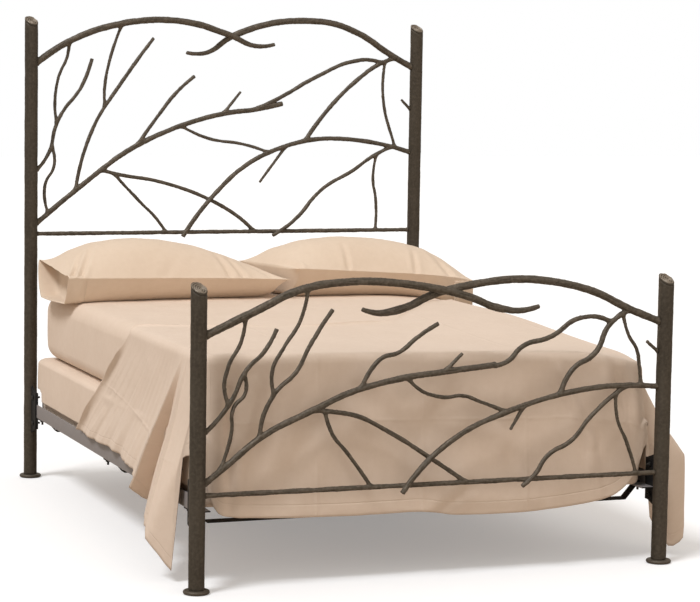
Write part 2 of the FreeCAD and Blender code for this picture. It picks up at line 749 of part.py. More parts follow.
def sheet_side(half, foot, head, drop, sign):
    # From the sheet's head edge down one side, round the corner flap and on to the foot
    spread = size("sheet_side_spread") * drop
    corner = size("mattress_edge")
    steps = len(side_folds)
    level = [(half + spread, between(head, flap_place("start"), step / steps)) for step in range(steps)]
    valley = half + size("sheet_valley") * drop
    ridge = half + size("sheet_flare") * drop
    flap = [
        (valley, between(3 * corner - foot, flap_place("start"), drop)),
        (ridge, between(2 * corner - foot, flap_place("ridge"), drop)),
        (valley, between(corner - foot, flap_place("end"), drop)),
    ]
    lower_foot = foot + size("sheet_foot_spread") * drop
    turn_in = [(half + spread, -lower_foot), (half - corner, -lower_foot)]
    return [Vector(sign * x, y, 0) for x, y in level + flap + turn_in]


def sheet_loop(name, height, drop, skin, grow):
    # The sheet's outline at one height: drop is the share of the way down, skin the depth below its face
    reach = size("sheet_ease") + size("sheet_thickness") - skin + grow
    half = mattress_half_width() + reach
    foot = mattress_half_length() + reach
    rise = size("turn_back_slope") * drop + skin * open_end_share
    right_head = pillow_middle() - size("pillow_depth") / 2 - size("turn_back_pillow_gap")
    left = sheet_side(half, foot, rise - size("turn_back_left"), drop, -1)
    right = sheet_side(half, foot, rise * right_rise_share + right_head, drop, 1)
    start, end = left[-1], right[-1]
    foot_line = [between(start, end, step / len(foot_folds)) for step in range(1, len(foot_folds))]
    head_middle = Vector(-size("turn_back_middle_across"), rise - size("turn_back_middle"), 0)
    corners = left + foot_line + right[::-1] + [head_middle]
    folds = side_folds + flap_folds + foot_folds + flap_folds[::-1] + side_folds[::-1] + [0, 0]
    bulges = [size("sheet_wave") * drop * fold for fold in folds]
    return sketch(name, chain(corners, bulges), Placement(Vector(0, 0, height), Rotation()))


def sheet_shell(name, skin, top, low):
    shoulder = size("sheet_shoulder")
    shell = doc.addObject("Part::Loft", name)
    shell.Sections = [
        sheet_loop(f"{name}_top", top, 0, skin, -shoulder),
        sheet_loop(f"{name}_shoulder", top - shoulder, 0, skin, 0),
        sheet_loop(f"{name}_low", low, 1, skin, 0),
    ]
    shell.Solid = True
    shell.Ruled = True
    return shell


def sheet_hems():
    # What is cut away under the hem: at the sides, below the corner flaps, at the foot and at the posts
    wide = size("post_span")
    reach = size("bed_length")
    across = "2 * sizes.post_span"
    side_start = Vector(-wide, flap_place("start"), 0)
    hems = [box("top_sheet_side_hem", side_start, across, "sizes.bed_length", "sizes.sheet_side_hem")]
    flap = doc.addObject("Part::Wedge", "top_sheet_flap_hem")
    flap.Placement = Placement(Vector(-wide, flap_place("end"), 0), Rotation())
    bind(flap, {"Xmin": "0", "X2min": "0", "Xmax": across, "X2max": across, "Zmin": "0", "Z2min": "0"})
    bind(flap, {"Ymin": "0", "Ymax": "sizes.flap_start_setback - sizes.flap_end_setback"})
    bind(flap, {"Zmax": "sizes.sheet_tip_height", "Z2max": "sizes.sheet_flap_hem"})
    hems.append(flap)
    foot_depth = "sizes.bed_length - mattress_block.Width.Value / 2"
    far = Vector(-wide, -reach, 0)
    hems.append(box("top_sheet_foot_hem", far, across, foot_depth, "sizes.sheet_foot_hem"))
    inside = wide / 2 - size("bracket_thickness") / 2 - size("rail_leg") - size("sheet_slit_clearance")
    slit_depth = "sizes.bed_length - mattress_block.Width.Value / 2 + sizes.flap_end_setback"
    for x in (-inside - wide, inside):
        corner = Vector(x, -reach, 0)
        hems.append(box("top_sheet_slit", corner, "sizes.post_span", slit_depth, "sizes.corner_hem"))
    return hems


def make_sheet():
    inner_top = mattress_top() + size("sheet_ease")
    low = size("sheet_tip_height")
    outer = sheet_shell("top_sheet_outer", 0, inner_top + size("sheet_thickness"), low)
    inner = sheet_shell("top_sheet_inner", size("sheet_thickness"), inner_top, low)
    return cut(outer, [inner] + sheet_hems(), "top_sheet")


pillow_flat_share = 0.7
pillow_swell_share = 0.12
pillow_shoulder_share = 0.8


def pillow_section(name, x, half_depth, height):
    seam = size("pillow_seam_height") * height / size("pillow_height")
    flat = half_depth * pillow_flat_share
    swell = seam * pillow_swell_share
    front, back = Vector(-half_depth, seam, 0), Vector(half_depth, seam, 0)
    under_front, under_back = Vector(-flat, 0, 0), Vector(flat, 0, 0)
    edges = [
        Part.Arc(front, Vector(0, height, 0), back),
        Part.Arc(back, (back + under_back) * 0.5 + Vector(swell, -swell, 0), under_back),
        Part.LineSegment(under_back, under_front),
        Part.Arc(under_front, (front + under_front) * 0.5 + Vector(-swell, -swell, 0), front),
    ]
    place = Vector(x, pillow_middle(), mattress_top() + size("bedding_gap"))
    return sketch(name, edges, Placement(place, Rotation(Vector(0, 1, 0), up, Vector(1, 0, 0), "XYZ")))


def make_pillow(side):
    name = f"pillow_{side}"
    length = size("pillow_length")
    start = size("pillow_offset") + size("pillow_gap") / 2
    if side == "left":
        start -= length + size("pillow_gap")
    end_height = size("pillow_end_height")
    crown = size("pillow_height")
    shoulder = between(end_height, crown, pillow_shoulder_share)
    corner = size("pillow_depth") / 2
    drawn_in = corner - size("pillow_draw_in")
    stations = [
        (0, corner, end_height),
        (0.2, drawn_in, shoulder),
        (0.5, drawn_in, crown),
        (0.8, drawn_in, shoulder),
        (1, corner, end_height),
    ]
    pillow = doc.addObject("Part::Loft", name)
    pillow.Sections = [
        pillow_section(f"{name}_section", start + share * length, depth, height)
        for share, depth, height in stations
    ]
    pillow.Solid = True
    pillow.Label = name
    return pillow


# The whole bed


def make_panels():
    panels = [Panel(end) for end in ends]
    caps = []
    feet = []
    for panel in panels:
        caps += [make_post(panel, side) for side in sides]
        feet += [make_foot(panel, side) for side in sides]
        make_bar(panel)
        make_arches(panel)
        make_branches(panel)
        make_stubs(panel)
    nodes = [node for panel in panels for node in panel.nodes.values()]
    return panels, nodes + [group(caps, "post_caps"), group(feet, "post_feet")]


def make_frame(panels):
    at_posts = rail_fastenings()
    at_slats = slat_fastenings()
    brackets = [make_bracket(panel, side, at_posts[side, panel.end]) for panel in panels for side in sides]
    nodes = [group(brackets, "rail_brackets")]
    for side in sides:
        own = [item for table in (at_posts, at_slats) for key, items in table.items() if key[0] == side
               for item in items]
        nodes.append(make_rail(side, own))
    slats = []
    for row in (-1, 0, 1):
        slats.append(make_slat(row, at_slats["left", row] + at_slats["right", row]))
    nodes.append(group(slats, "cross_slats"))
    every = [item for table in (at_posts, at_slats) for items in table.values() for item in items]
    nodes.append(group([make_bolt(item, index) for index, item in enumerate(every)], "frame_bolts"))
    nodes.append(group([make_nut(item, index) for index, item in enumerate(every)], "frame_nuts"))
    return nodes + make_centre_leg()


def make_bedding():
    foundation = bed_block("foundation", foundation_bottom())
    mattress = bed_block("mattress", mattress_bottom())
    return [foundation, mattress, make_sheet(), make_pillow("left"), make_pillow("right")]


def write_parts(nodes):
    doc.recompute()
    failed = [made.Label for made in doc.Objects if {"Invalid", "Error"} & set(made.State)]
    if failed:
        raise RuntimeError(f"did not build: {failed}")
    os.makedirs("parts", exist_ok=True)
    for node in nodes:
        if node.Shape.isNull() or not node.Shape.isValid():
            raise RuntimeError(f"{node.Label} has no valid shape")
        node.Shape.exportStep(f"parts/{node.Label}.step")
        print(node.Label, len(node.Shape.Solids), round(node.Shape.Volume / 1000, 1))


bed_panels, panel_nodes = make_panels()
write_parts(panel_nodes + make_frame(bed_panels) + make_bedding())
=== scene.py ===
import math

import bpy
import numpy as np
from mathutils import Matrix, Vector, noise
from mathutils.bvhtree import BVHTree


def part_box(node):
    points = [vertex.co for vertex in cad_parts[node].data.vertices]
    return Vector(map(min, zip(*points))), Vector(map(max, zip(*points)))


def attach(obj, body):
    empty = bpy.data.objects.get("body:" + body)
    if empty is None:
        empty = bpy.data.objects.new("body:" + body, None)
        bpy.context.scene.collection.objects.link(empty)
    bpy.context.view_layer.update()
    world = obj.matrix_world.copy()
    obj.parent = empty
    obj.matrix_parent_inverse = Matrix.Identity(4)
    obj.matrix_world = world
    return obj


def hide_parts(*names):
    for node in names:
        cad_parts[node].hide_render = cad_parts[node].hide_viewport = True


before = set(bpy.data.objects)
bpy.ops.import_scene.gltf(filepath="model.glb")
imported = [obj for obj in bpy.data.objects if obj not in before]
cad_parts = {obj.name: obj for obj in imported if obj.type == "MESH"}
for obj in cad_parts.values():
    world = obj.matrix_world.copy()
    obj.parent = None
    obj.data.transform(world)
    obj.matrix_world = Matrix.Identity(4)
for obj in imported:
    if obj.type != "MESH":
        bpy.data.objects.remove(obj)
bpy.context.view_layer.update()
print("frame loaded:", len(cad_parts), "nodes")


# Small helpers

def onlySelect(piece):
    bpy.ops.object.select_all(action="DESELECT")
    piece.select_set(True)
    bpy.context.view_layer.objects.active = piece


def meshPiece(name, points, faces, smooth=True):
    mesh = bpy.data.meshes.new(name)
    mesh.from_pydata([tuple(point) for point in points], [], faces)
    mesh.update()
    piece = bpy.data.objects.new(name, mesh)
    bpy.context.scene.collection.objects.link(piece)
    if smooth:
        mesh.polygons.foreach_set("use_smooth", [True] * len(mesh.polygons))
    return piece


def applyModifier(piece, kind, **settings):
    onlySelect(piece)
    modifier = piece.modifiers.new(kind.lower(), kind)
    for key, value in settings.items():
        setattr(modifier, key, value)
    bpy.ops.object.modifier_apply(modifier=modifier.name)


def copyOfNode(name, nodeName):
    piece = bpy.data.objects.new(name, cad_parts[nodeName].data.copy())
    bpy.context.scene.collection.objects.link(piece)
    piece.data.materials.clear()
    onlySelect(piece)
    bpy.ops.object.mode_set(mode="EDIT")
    bpy.ops.mesh.select_all(action="SELECT")
    bpy.ops.mesh.remove_doubles(threshold=0.00001)
    bpy.ops.object.mode_set(mode="OBJECT")
    return piece


def points(piece):
    found = np.zeros(len(piece.data.vertices) * 3)
    piece.data.vertices.foreach_get("co", found)
    return found.reshape(-1, 3)


def normals(piece):
    found = np.zeros(len(piece.data.vertices) * 3)
    piece.data.vertex_normals.foreach_get("vector", found)
    return found.reshape(-1, 3)


def setPoints(piece, moved):
    piece.data.vertices.foreach_set("co", np.asarray(moved, float).ravel())
    piece.data.update()


def setAttribute(piece, name, values):
    attribute = piece.data.attributes.new(name, "FLOAT", "POINT")
    attribute.data.foreach_set("value", np.asarray(values, np.float32))


def grainAt(places, scale, octaves=2):
    return np.array([noise.fractal(Vector(place) * scale, 1.0, 2.0, octaves) for place in places])


def smoothStep(low, high, value):
    share = np.clip((value - low) / (high - low), 0, 1)
    return share * share * (3 - 2 * share)


def stand(piece, body, slot, *nodeNames):
    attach(piece, body)
    if nodeNames:
        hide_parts(*nodeNames)
    return piece


# Shader helpers

def node(tree, kind, inputs=None, **settings):
    made = tree.nodes.new(kind)
    for key, value in settings.items():
        setattr(made, key, value)
    for key, value in (inputs or {}).items():
        if isinstance(value, bpy.types.NodeSocket):
            tree.links.new(value, made.inputs[key])
        else:
            made.inputs[key].default_value = value
    return made


def newGroup(name, inputs, outputs):
    tree = bpy.data.node_groups.new(name, "ShaderNodeTree")
    for label, kind, value in inputs:
        socket = tree.interface.new_socket(label, in_out="INPUT", socket_type=kind)
        if value is not None:
            socket.default_value = value
    for label, kind in outputs:
        tree.interface.new_socket(label, in_out="OUTPUT", socket_type=kind)
    return tree, tree.nodes.new("NodeGroupInput"), tree.nodes.new("NodeGroupOutput")


def newMaterial(name, **fixed):
    material = bpy.data.materials.new(name)
    material.use_nodes = True
    tree = material.node_tree
    shader = tree.nodes["Principled BSDF"]
    for key, value in fixed.items():
        shader.inputs[key.replace("_", " ")].default_value = value
    return material, tree, shader


def ramp(tree, factor, stops):
    made = node(tree, "ShaderNodeValToRGB", {"Fac": factor})
    elements = made.color_ramp.elements
    while len(elements) < len(stops):
        elements.new(0.5)
    for element, (place, colour) in zip(elements, stops):
        element.position = place
        element.color = (*colour, 1)
    return made.outputs["Color"]


def mixColour(tree, factor, first, second, blend="MIX"):
    made = node(tree, "ShaderNodeMix", data_type="RGBA", blend_type=blend)
    for socket, value in ((made.inputs[0], factor), (made.inputs[6], first), (made.inputs[7], second)):
        if isinstance(value, bpy.types.NodeSocket):
            tree.links.new(value, socket)
        elif isinstance(value, float):
            socket.default_value = value
        else:
            socket.default_value = (*value, 1)
    return made.outputs[2]


def math2(tree, operation, first, second=0.5):
    return node(tree, "ShaderNodeMath", {0: first, 1: second}, operation=operation).outputs[0]


def remap(tree, value, low, high, toLow=0.0, toHigh=1.0, **settings):
    given = {0: value, 1: low, 2: high, 3: toLow, 4: toHigh}
    return node(tree, "ShaderNodeMapRange", given, **settings).outputs[0]


def cloudy(tree, where, scale, detail, roughness=0.5):
    given = {"Vector": where, "Scale": scale, "Detail": detail, "Roughness": roughness}
    return node(tree, "ShaderNodeTexNoise", given).outputs["Fac"]


# Camera, light and floor

viewSetup = {
    "place": (-2.9921, -8.0112, 1.6377),
    "yaw": 21.161,
    "pitch": 5.721,
    "roll": 0.917,
    "lens": 123.61,
    "sensor": 36.0,
    "farthest": 200.0,
}
stageSetup = {
    "floorSize": 60.0,
    "floorDrop": 0.0005,
    "floorSeen": (0.78, 0.80, 0.83),
    "floorBounce": (0.46, 0.39, 0.32),
    "floorGlow": 0.26,
    "skyColour": (1.0, 0.90, 0.80),
    "skyLight": 0.60,
    "lampDistance": 6.0,
    "sun": {"from": (-0.50, -0.25, 0.83), "spread": 16.0, "power": 1.88, "colour": (1.0, 1.0, 1.0)},
    "fill": {"from": (0.45, -0.85, 0.30), "spread": 70.0, "power": 0.36, "colour": (1.0, 0.86, 0.72)},
}


def addCamera():
    yaw, pitch, roll = (math.radians(viewSetup[key]) for key in ("yaw", "pitch", "roll"))
    ahead = Vector((math.sin(yaw) * math.cos(pitch), math.cos(yaw) * math.cos(pitch), -math.sin(pitch)))
    right = Vector((math.cos(yaw), -math.sin(yaw), 0))
    rise = right.cross(ahead)
    across = right * math.cos(roll) + rise * math.sin(roll)
    upward = rise * math.cos(roll) - right * math.sin(roll)
    bpy.ops.object.camera_add()
    camera = bpy.context.object
    turn = Matrix((across, upward, -ahead)).transposed().to_4x4()
    camera.matrix_world = Matrix.Translation(viewSetup["place"]) @ turn
    camera.data.lens = viewSetup["lens"]
    camera.data.sensor_width = viewSetup["sensor"]
    camera.data.clip_end = viewSetup["farthest"]
    bpy.context.scene.camera = camera


def addLamp(name):
    setup = stageSetup[name]
    toward = Vector(setup["from"])
    bpy.ops.object.light_add(type="SUN", location=toward * stageSetup["lampDistance"])
    lamp = bpy.context.object
    lamp.name = name + "Lamp"
    lamp.rotation_euler = toward.to_track_quat("Z", "Y").to_euler()
    lamp.data.angle = math.radians(setup["spread"])
    lamp.data.energy = setup["power"]
    lamp.data.color = setup["colour"]


def addStage():
    scene = bpy.context.scene
    scene.view_settings.view_transform = "Standard"
    bpy.ops.mesh.primitive_plane_add(size=stageSetup["floorSize"], location=(0, 0, -stageSetup["floorDrop"]))
    floor = bpy.context.object
    floor.name = "studioFloor"
    material, tree, shader = newMaterial("paleFloor", Roughness=0.9)
    shader.inputs["Emission Color"].default_value = (1, 1, 1, 1)
    direct = node(tree, "ShaderNodeLightPath").outputs["Is Camera Ray"]
    tone = mixColour(tree, direct, stageSetup["floorBounce"], stageSetup["floorSeen"])
    tree.links.new(tone, shader.inputs["Base Color"])
    glow = math2(tree, "MULTIPLY", direct, stageSetup["floorGlow"])
    tree.links.new(glow, shader.inputs["Emission Strength"])
    floor.data.materials.append(material)
    world = bpy.data.worlds.new("studio")
    scene.world = world
    world.use_nodes = True
    # white behind the bed, a softer warm light on it
    tree = world.node_tree
    direct = node(tree, "ShaderNodeLightPath").outputs["Is Camera Ray"]
    glow = tuple(stageSetup["skyLight"] * value for value in stageSetup["skyColour"])
    tree.links.new(mixColour(tree, direct, glow, (1, 1, 1)), tree.nodes["Background"].inputs["Color"])
    addLamp("sun")
    addLamp("fill")


addCamera()
addStage()
print("camera and stage set")


# Finishes

ironTones = {
    "deep": (0.040, 0.033, 0.024),
    "brown": (0.056, 0.047, 0.035),
    "olive": (0.080, 0.068, 0.052),
    "rubbedAndLit": (0.270, 0.230, 0.185),
}


def makePatinaGroup():
    # Mottled brown patina over dark iron, with a hammered skin
    tree, given, out = newGroup(
        "patina",
        [("Vector", "NodeSocketVector", None), ("RubAndPaintedLight", "NodeSocketFloat", 0.0),
         ("Streak", "NodeSocketFloat", 0.0), ("Mottle", "NodeSocketFloat", 40.0)],
        [("Color", "NodeSocketColor"), ("Roughness", "NodeSocketFloat"), ("Height", "NodeSocketFloat")],
    )
    where = given.outputs["Vector"]
    cloud = cloudy(tree, where, given.outputs["Mottle"], 5.0, 0.6)
    fleck = cloudy(tree, where, 150.0, 4.0, 0.7)
    dint = node(tree, "ShaderNodeTexVoronoi", {"Vector": where, "Scale": 130.0, "Smoothness": 0.8},
                feature="SMOOTH_F1")
    drawn = node(tree, "ShaderNodeMapping", {"Vector": where, "Scale": (1, 1, 0.03)})
    streak = cloudy(tree, drawn.outputs[0], 130.0, 3.0)
    base = ramp(tree, cloud, [(0.30, ironTones["deep"]), (0.52, ironTones["brown"]),
                              (0.78, ironTones["olive"])])
    flecked = mixColour(tree, remap(tree, fleck, 0.5, 0.72, 0.0, 0.55), base, ironTones["olive"])
    lineShare = math2(tree, "MULTIPLY", remap(tree, streak, 0.45, 0.75), given.outputs["Streak"])
    streaked = mixColour(tree, lineShare, flecked, ironTones["olive"])
    # this lighter tone is wear on the boughs, posts and feet, and on the sawn cap tops it is also a painted
    # highlight
    rubAndLightShare = math2(tree, "MULTIPLY", given.outputs["RubAndPaintedLight"], fleck)
    wornAndLitTone = mixColour(tree, rubAndLightShare, streaked, ironTones["rubbedAndLit"])
    pits = math2(tree, "MULTIPLY", dint.outputs["Distance"], 0.9)
    grain = math2(tree, "MULTIPLY", fleck, 0.8)
    tree.links.new(wornAndLitTone, out.inputs["Color"])
    tree.links.new(remap(tree, cloud, 0.3, 0.7, 0.46, 0.68), out.inputs["Roughness"])
    tree.links.new(math2(tree, "ADD", pits, grain), out.inputs["Height"])
    return tree


def makeIron(name, patina, mottle, streak, bump):
    material, tree, shader = newMaterial(name, Metallic=0.45)
    where = node(tree, "ShaderNodeTexCoord").outputs["Object"]
    skin = node(tree, "ShaderNodeGroup", node_tree=patina)
    rubAndPaintedLight = node(tree, "ShaderNodeAttribute", attribute_name="rubAndPaintedLight").outputs["Fac"]
    tree.links.new(where, skin.inputs["Vector"])
    tree.links.new(rubAndPaintedLight, skin.inputs["RubAndPaintedLight"])
    skin.inputs["Mottle"].default_value = mottle
    skin.inputs["Streak"].default_value = streak
    relief = {"Height": skin.outputs["Height"], "Strength": bump, "Distance": 0.001}
    tree.links.new(skin.outputs["Color"], shader.inputs["Base Color"])
    tree.links.new(skin.outputs["Roughness"], shader.inputs["Roughness"])
    tree.links.new(node(tree, "ShaderNodeBump", relief).outputs[0], shader.inputs["Normal"])
    return material


def makePaint(name, colour, chip, roughness, metallic=0.0):
    # Sprayed paint with a fine orange peel and faint scuffs
    material, tree, shader = newMaterial(name, Metallic=metallic, Specular_IOR_Level=0.25)
    where = node(tree, "ShaderNodeTexCoord").outputs["Object"]
    scuff = cloudy(tree, where, 22.0, 7.0, 0.68)
    peel = {"Height": cloudy(tree, where, 420.0, 2.0), "Strength": 0.12, "Distance": 0.0006}
    tint = mixColour(tree, remap(tree, scuff, 0.52, 0.72), colour, chip)
    gloss = remap(tree, scuff, 0.3, 0.7, roughness - 0.08, roughness + 0.12)
    tree.links.new(tint, shader.inputs["Base Color"])
    tree.links.new(gloss, shader.inputs["Roughness"])
    tree.links.new(node(tree, "ShaderNodeBump", peel).outputs[0], shader.inputs["Normal"])
    return material


def makeWeaveGroup():
    # Plain weave threads, slubs and a soft unevenness of the dye
    tree, given, out = newGroup(
        "plainWeave",
        [("Vector", "NodeSocketVector", None), ("Threads", "NodeSocketFloat", 1400.0)],
        [("Tone", "NodeSocketFloat"), ("Height", "NodeSocketFloat")],
    )
    where = given.outputs["Vector"]
    slub = cloudy(tree, where, 45.0, 5.0, 0.6)
    dye = cloudy(tree, where, 5.0, 3.0)
    wave = {"Vector": where, "Scale": given.outputs["Threads"], "Distortion": 1.0}
    warp, weft = (node(tree, "ShaderNodeTexWave", wave, bands_direction=way).outputs["Fac"] for way in "XY")
    cloth = math2(tree, "MULTIPLY", math2(tree, "MULTIPLY", warp, weft), 0.35)
    uneven = math2(tree, "ADD", math2(tree, "MULTIPLY", slub, 0.5), math2(tree, "MULTIPLY", dye, 0.5))
    tree.links.new(uneven, out.inputs["Tone"])
    tree.links.new(math2(tree, "ADD", cloth, math2(tree, "MULTIPLY", slub, 0.65)), out.inputs["Height"])
    return tree


foldSetup = {"spacing": (0.36, 0.36), "offset": (0.03, 0.14), "width": 0.010, "hem": 0.04, "stitch": 0.004}


def makeFoldGroup():
    # Ridges left where the sheet lay folded in its packet, and the stitching of its hems
    tree, given, out = newGroup(
        "pressedFolds",
        [("Vector", "NodeSocketVector", None), ("HemGap", "NodeSocketFloat", 1.0)],
        [("Height", "NodeSocketFloat")],
    )
    place = node(tree, "ShaderNodeSeparateXYZ", {0: given.outputs["Vector"]})
    fade = remap(tree, cloudy(tree, given.outputs["Vector"], 3.5, 3.0), 0.36, 0.6, 0.1, 1.0)
    ridges = []
    for axis in range(2):
        moved = math2(tree, "ADD", place.outputs[axis], foldSetup["offset"][axis])
        gap = math2(tree, "PINGPONG", moved, foldSetup["spacing"][axis] / 2)
        ridges.append(remap(tree, gap, 0.0, foldSetup["width"], 1.0, 0.0, interpolation_type="SMOOTHSTEP"))
    folds = math2(tree, "MULTIPLY", math2(tree, "MAXIMUM", *ridges), fade)
    offLine = math2(tree, "ABSOLUTE", math2(tree, "SUBTRACT", given.outputs["HemGap"], foldSetup["hem"]))
    stitch = remap(tree, offLine, 0.0, foldSetup["stitch"], 0.8, 0.0, interpolation_type="SMOOTHSTEP")
    tree.links.new(math2(tree, "SUBTRACT", folds, stitch), out.inputs["Height"])
    return tree


def makeCotton(name, weave, light, dark, useUv, folds=None):
    material, tree, shader = newMaterial(name, Sheen_Weight=0.12, Sheen_Roughness=0.45, Roughness=0.86,
                                         Specular_IOR_Level=0.25)
    where = node(tree, "ShaderNodeTexCoord").outputs["UV" if useUv else "Object"]
    cloth = node(tree, "ShaderNodeGroup", node_tree=weave)
    tree.links.new(where, cloth.inputs["Vector"])
    tint = mixColour(tree, remap(tree, cloth.outputs["Tone"], 0.38, 0.62), dark, light)
    relief = {"Height": cloth.outputs["Height"], "Strength": 0.16, "Distance": 0.0012}
    bump = node(tree, "ShaderNodeBump", relief)
    if folds:
        pressed = node(tree, "ShaderNodeGroup", node_tree=folds)
        tree.links.new(where, pressed.inputs["Vector"])
        hemGap = node(tree, "ShaderNodeAttribute", attribute_name="hemGap").outputs["Fac"]
        tree.links.new(hemGap, pressed.inputs["HemGap"])
        bump = node(tree, "ShaderNodeBump", {"Height": pressed.outputs["Height"], "Normal": bump.outputs[0],
                                             "Strength": 0.4, "Distance": 0.003})
    tree.links.new(tint, shader.inputs["Base Color"])
    tree.links.new(bump.outputs[0], shader.inputs["Normal"])
    return material


patinaGroup = makePatinaGroup()
weaveGroup = makeWeaveGroup()
forgedIron = makeIron("forgedIron", patinaGroup, 60.0, 0.0, 0.9)
postIron = makeIron("postIron", patinaGroup, 4.0, 0.45, 0.15)
greyPaint = makePaint("greyRailPaint", (0.26, 0.245, 0.25), (0.31, 0.295, 0.295), 0.5)
blackPaint = makePaint("blackSteelPaint", (0.012, 0.012, 0.013), (0.028, 0.027, 0.026), 0.58)
zincSteel = makePaint("boltSteel", (0.05, 0.05, 0.052), (0.13, 0.125, 0.12), 0.38, 0.8)
sheetCotton = makeCotton("topSheetCotton", weaveGroup, (0.735, 0.615, 0.518), (0.705, 0.583, 0.485), True,
                         makeFoldGroup())
caseCotton = makeCotton("pillowcaseCotton", weaveGroup, (0.715, 0.592, 0.476), (0.685, 0.560, 0.444),
                        False)
fittedCotton = makeCotton("fittedSheetCotton", weaveGroup, (0.735, 0.612, 0.512), (0.705, 0.580, 0.478),
                          False)
print("finishes ready")


# Iron panels

forgeSetup = {
    "boughVoxel": 0.0028,
    "twigVoxel": 0.0023,
    "postVoxel": 0.0030,
    "postCore": 0.0240,
    "coreShort": 0.002,
    "coreSeat": 0.0005,
    "smoothTurns": 4,
    "hammerScale": 105.0,
    "hammerDepth": 0.0007,
    "barkRound": 2.1,
    "barkAlong": 13.0,
    "barkDepth": 0.0011,
    "barkStep": 0.025,
    "barkBase": 0.6,
    "barkPeak": 2.4,
    "swellScale": 16.0,
    "swellDepth": 0.0009,
    "postHammerDepth": 0.00035,
    "postSwellDepth": 0.0007,
    "rubAndPaintedLight": (0.42, 0.30, 0.34),
    "postRub": (0.10, 0.0, 0.18),
    "weldReach": 0.009,
    "weldRise": 0.0032,
    "weldCalm": 0.6,
    "weldPower": 1.5,
    "nearReach": 0.01,
}
panelEnds = ("head", "foot")
boughNames = ("lower_bar", "arch_left", "arch_right", "main_bough", "low_bough", "right_upper_branch",
              "upper_bough")
twigNames = ("low_branch", "right_low_branch", "twig_post_rise", "twig_arch_drop", "twig_post_drop",
             "twig_main_rise", "twig_main_fork", "twig_main_tip", "twig_middle_link", "twig_bar_drop",
             "twig_right_link", "twig_right_drop", "stubs")
postNames = ("post_left", "post_right")


def nodeTree(nodeName):
    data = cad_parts[nodeName].data
    data.calc_loop_triangles()
    return BVHTree.FromPolygons([vertex.co for vertex in data.vertices],
                                [tuple(triangle.vertices) for triangle in data.loop_triangles])


def boxesNear(first, second, reach):
    (lowA, highA), (lowB, highB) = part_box(first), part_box(second)
    return all(lowA[k] - reach < highB[k] and lowB[k] - reach < highA[k] for k in range(3))


def weldShare(places, trees, reach):
    # How near each point is to the piece that it is welded to
    share = np.zeros(len(places))
    for index, place in enumerate(places):
        for tree in trees:
            hit = tree.find_nearest(place, reach)
            if hit[0] is not None:
                share[index] = max(share[index], 1 - hit[3] / reach)
    return share


def fillTube(piece, radius):
    # A core in the bore, cut off along the post's sloping top, as the wall is thinner than the remesh
    places = points(piece)
    low, high = places.min(axis=0), places.max(axis=0)
    rim = places[places[:, 2] > (low[2] + high[2]) / 2]
    fit = np.linalg.lstsq(np.c_[rim[:, :2], np.ones(len(rim))], rim[:, 2], rcond=None)[0]
    middle = (low + high) / 2
    bpy.ops.object.select_all(action="DESELECT")
    height = high[2] - low[2] - forgeSetup["coreShort"]
    bpy.ops.mesh.primitive_cylinder_add(vertices=64, radius=radius, depth=height, location=middle)
    core = bpy.context.object
    bpy.ops.object.transform_apply(location=True)
    bpy.ops.object.mode_set(mode="EDIT")
    bpy.ops.mesh.select_all(action="SELECT")
    level = fit[0] * middle[0] + fit[1] * middle[1] + fit[2] - forgeSetup["coreSeat"]
    seat = (middle[0], middle[1], level)
    bpy.ops.mesh.bisect(plane_co=seat, plane_no=(-fit[0], -fit[1], 1), use_fill=True, clear_outer=True)
    bpy.ops.object.mode_set(mode="OBJECT")
    core.select_set(True)
    piece.select_set(True)
    bpy.context.view_layer.objects.active = piece
    bpy.ops.object.join()


def barkAt(places):
    # Ridges that run along a bough: its length is measured on the middles of short slices
    middle = places.mean(axis=0)
    axis = np.linalg.svd((places - middle)[::7], full_matrices=False)[2][0]
    run = (places - middle) @ axis
    count = max(4, int(np.ptp(run) / forgeSetup["barkStep"]))
    slices = np.clip(((run - run.min()) / np.ptp(run) * count).astype(int), 0, count - 1)
    held = np.maximum(np.bincount(slices, minlength=count), 1)
    centres = np.stack([np.bincount(slices, places[:, k], count) / held for k in range(3)], axis=1)
    marks = run.min() + (np.arange(count) + 0.5) * np.ptp(run) / count
    length = np.concatenate([[0], np.cumsum(np.linalg.norm(np.diff(centres, axis=0), axis=1))])
    away = places - np.stack([np.interp(run, marks, centres[:, k]) for k in range(3)], axis=1)
    side = np.cross(axis, (0, 1, 0))
    turn = np.arctan2(away @ side, away[:, 1])
    coils = np.stack([np.cos(turn) * forgeSetup["barkRound"], np.sin(turn) * forgeSetup["barkRound"],
                      np.interp(run, marks, length) * forgeSetup["barkAlong"]], axis=1)
    return forgeSetup["barkBase"] - forgeSetup["barkPeak"] * np.abs(grainAt(coils, 1.0))


def forge(nodeName, voxel, hammer, swell, neighbours, material, rubAndPaintedLight):
    piece = copyOfNode(nodeName + "_forged", nodeName)
    if material == postIron:
        fillTube(piece, forgeSetup["postCore"])
    applyModifier(piece, "REMESH", mode="VOXEL", voxel_size=voxel, use_smooth_shade=True)
    applyModifier(piece, "SMOOTH", factor=0.5, iterations=forgeSetup["smoothTurns"])
    places, outward = points(piece), normals(piece)
    dint = grainAt(places, forgeSetup["hammerScale"])
    bulge = grainAt(places, forgeSetup["swellScale"])
    weld = weldShare(places, neighbours, forgeSetup["weldReach"])
    bark = barkAt(places) if neighbours else np.zeros(len(places))
    lift = hammer * dint + swell * bulge + forgeSetup["barkDepth"] * bark
    lift *= 1 - forgeSetup["weldCalm"] * weld
    lift += forgeSetup["weldRise"] * weld ** forgeSetup["weldPower"]
    setPoints(piece, places + outward * lift[:, None])
    setAttribute(piece, "rubAndPaintedLight", np.clip(rubAndPaintedLight[0] + rubAndPaintedLight[1] * bark + rubAndPaintedLight[2] * dint, 0, 1))
    piece.data.materials.append(material)
    return stand(piece, "frame", "iron", nodeName)


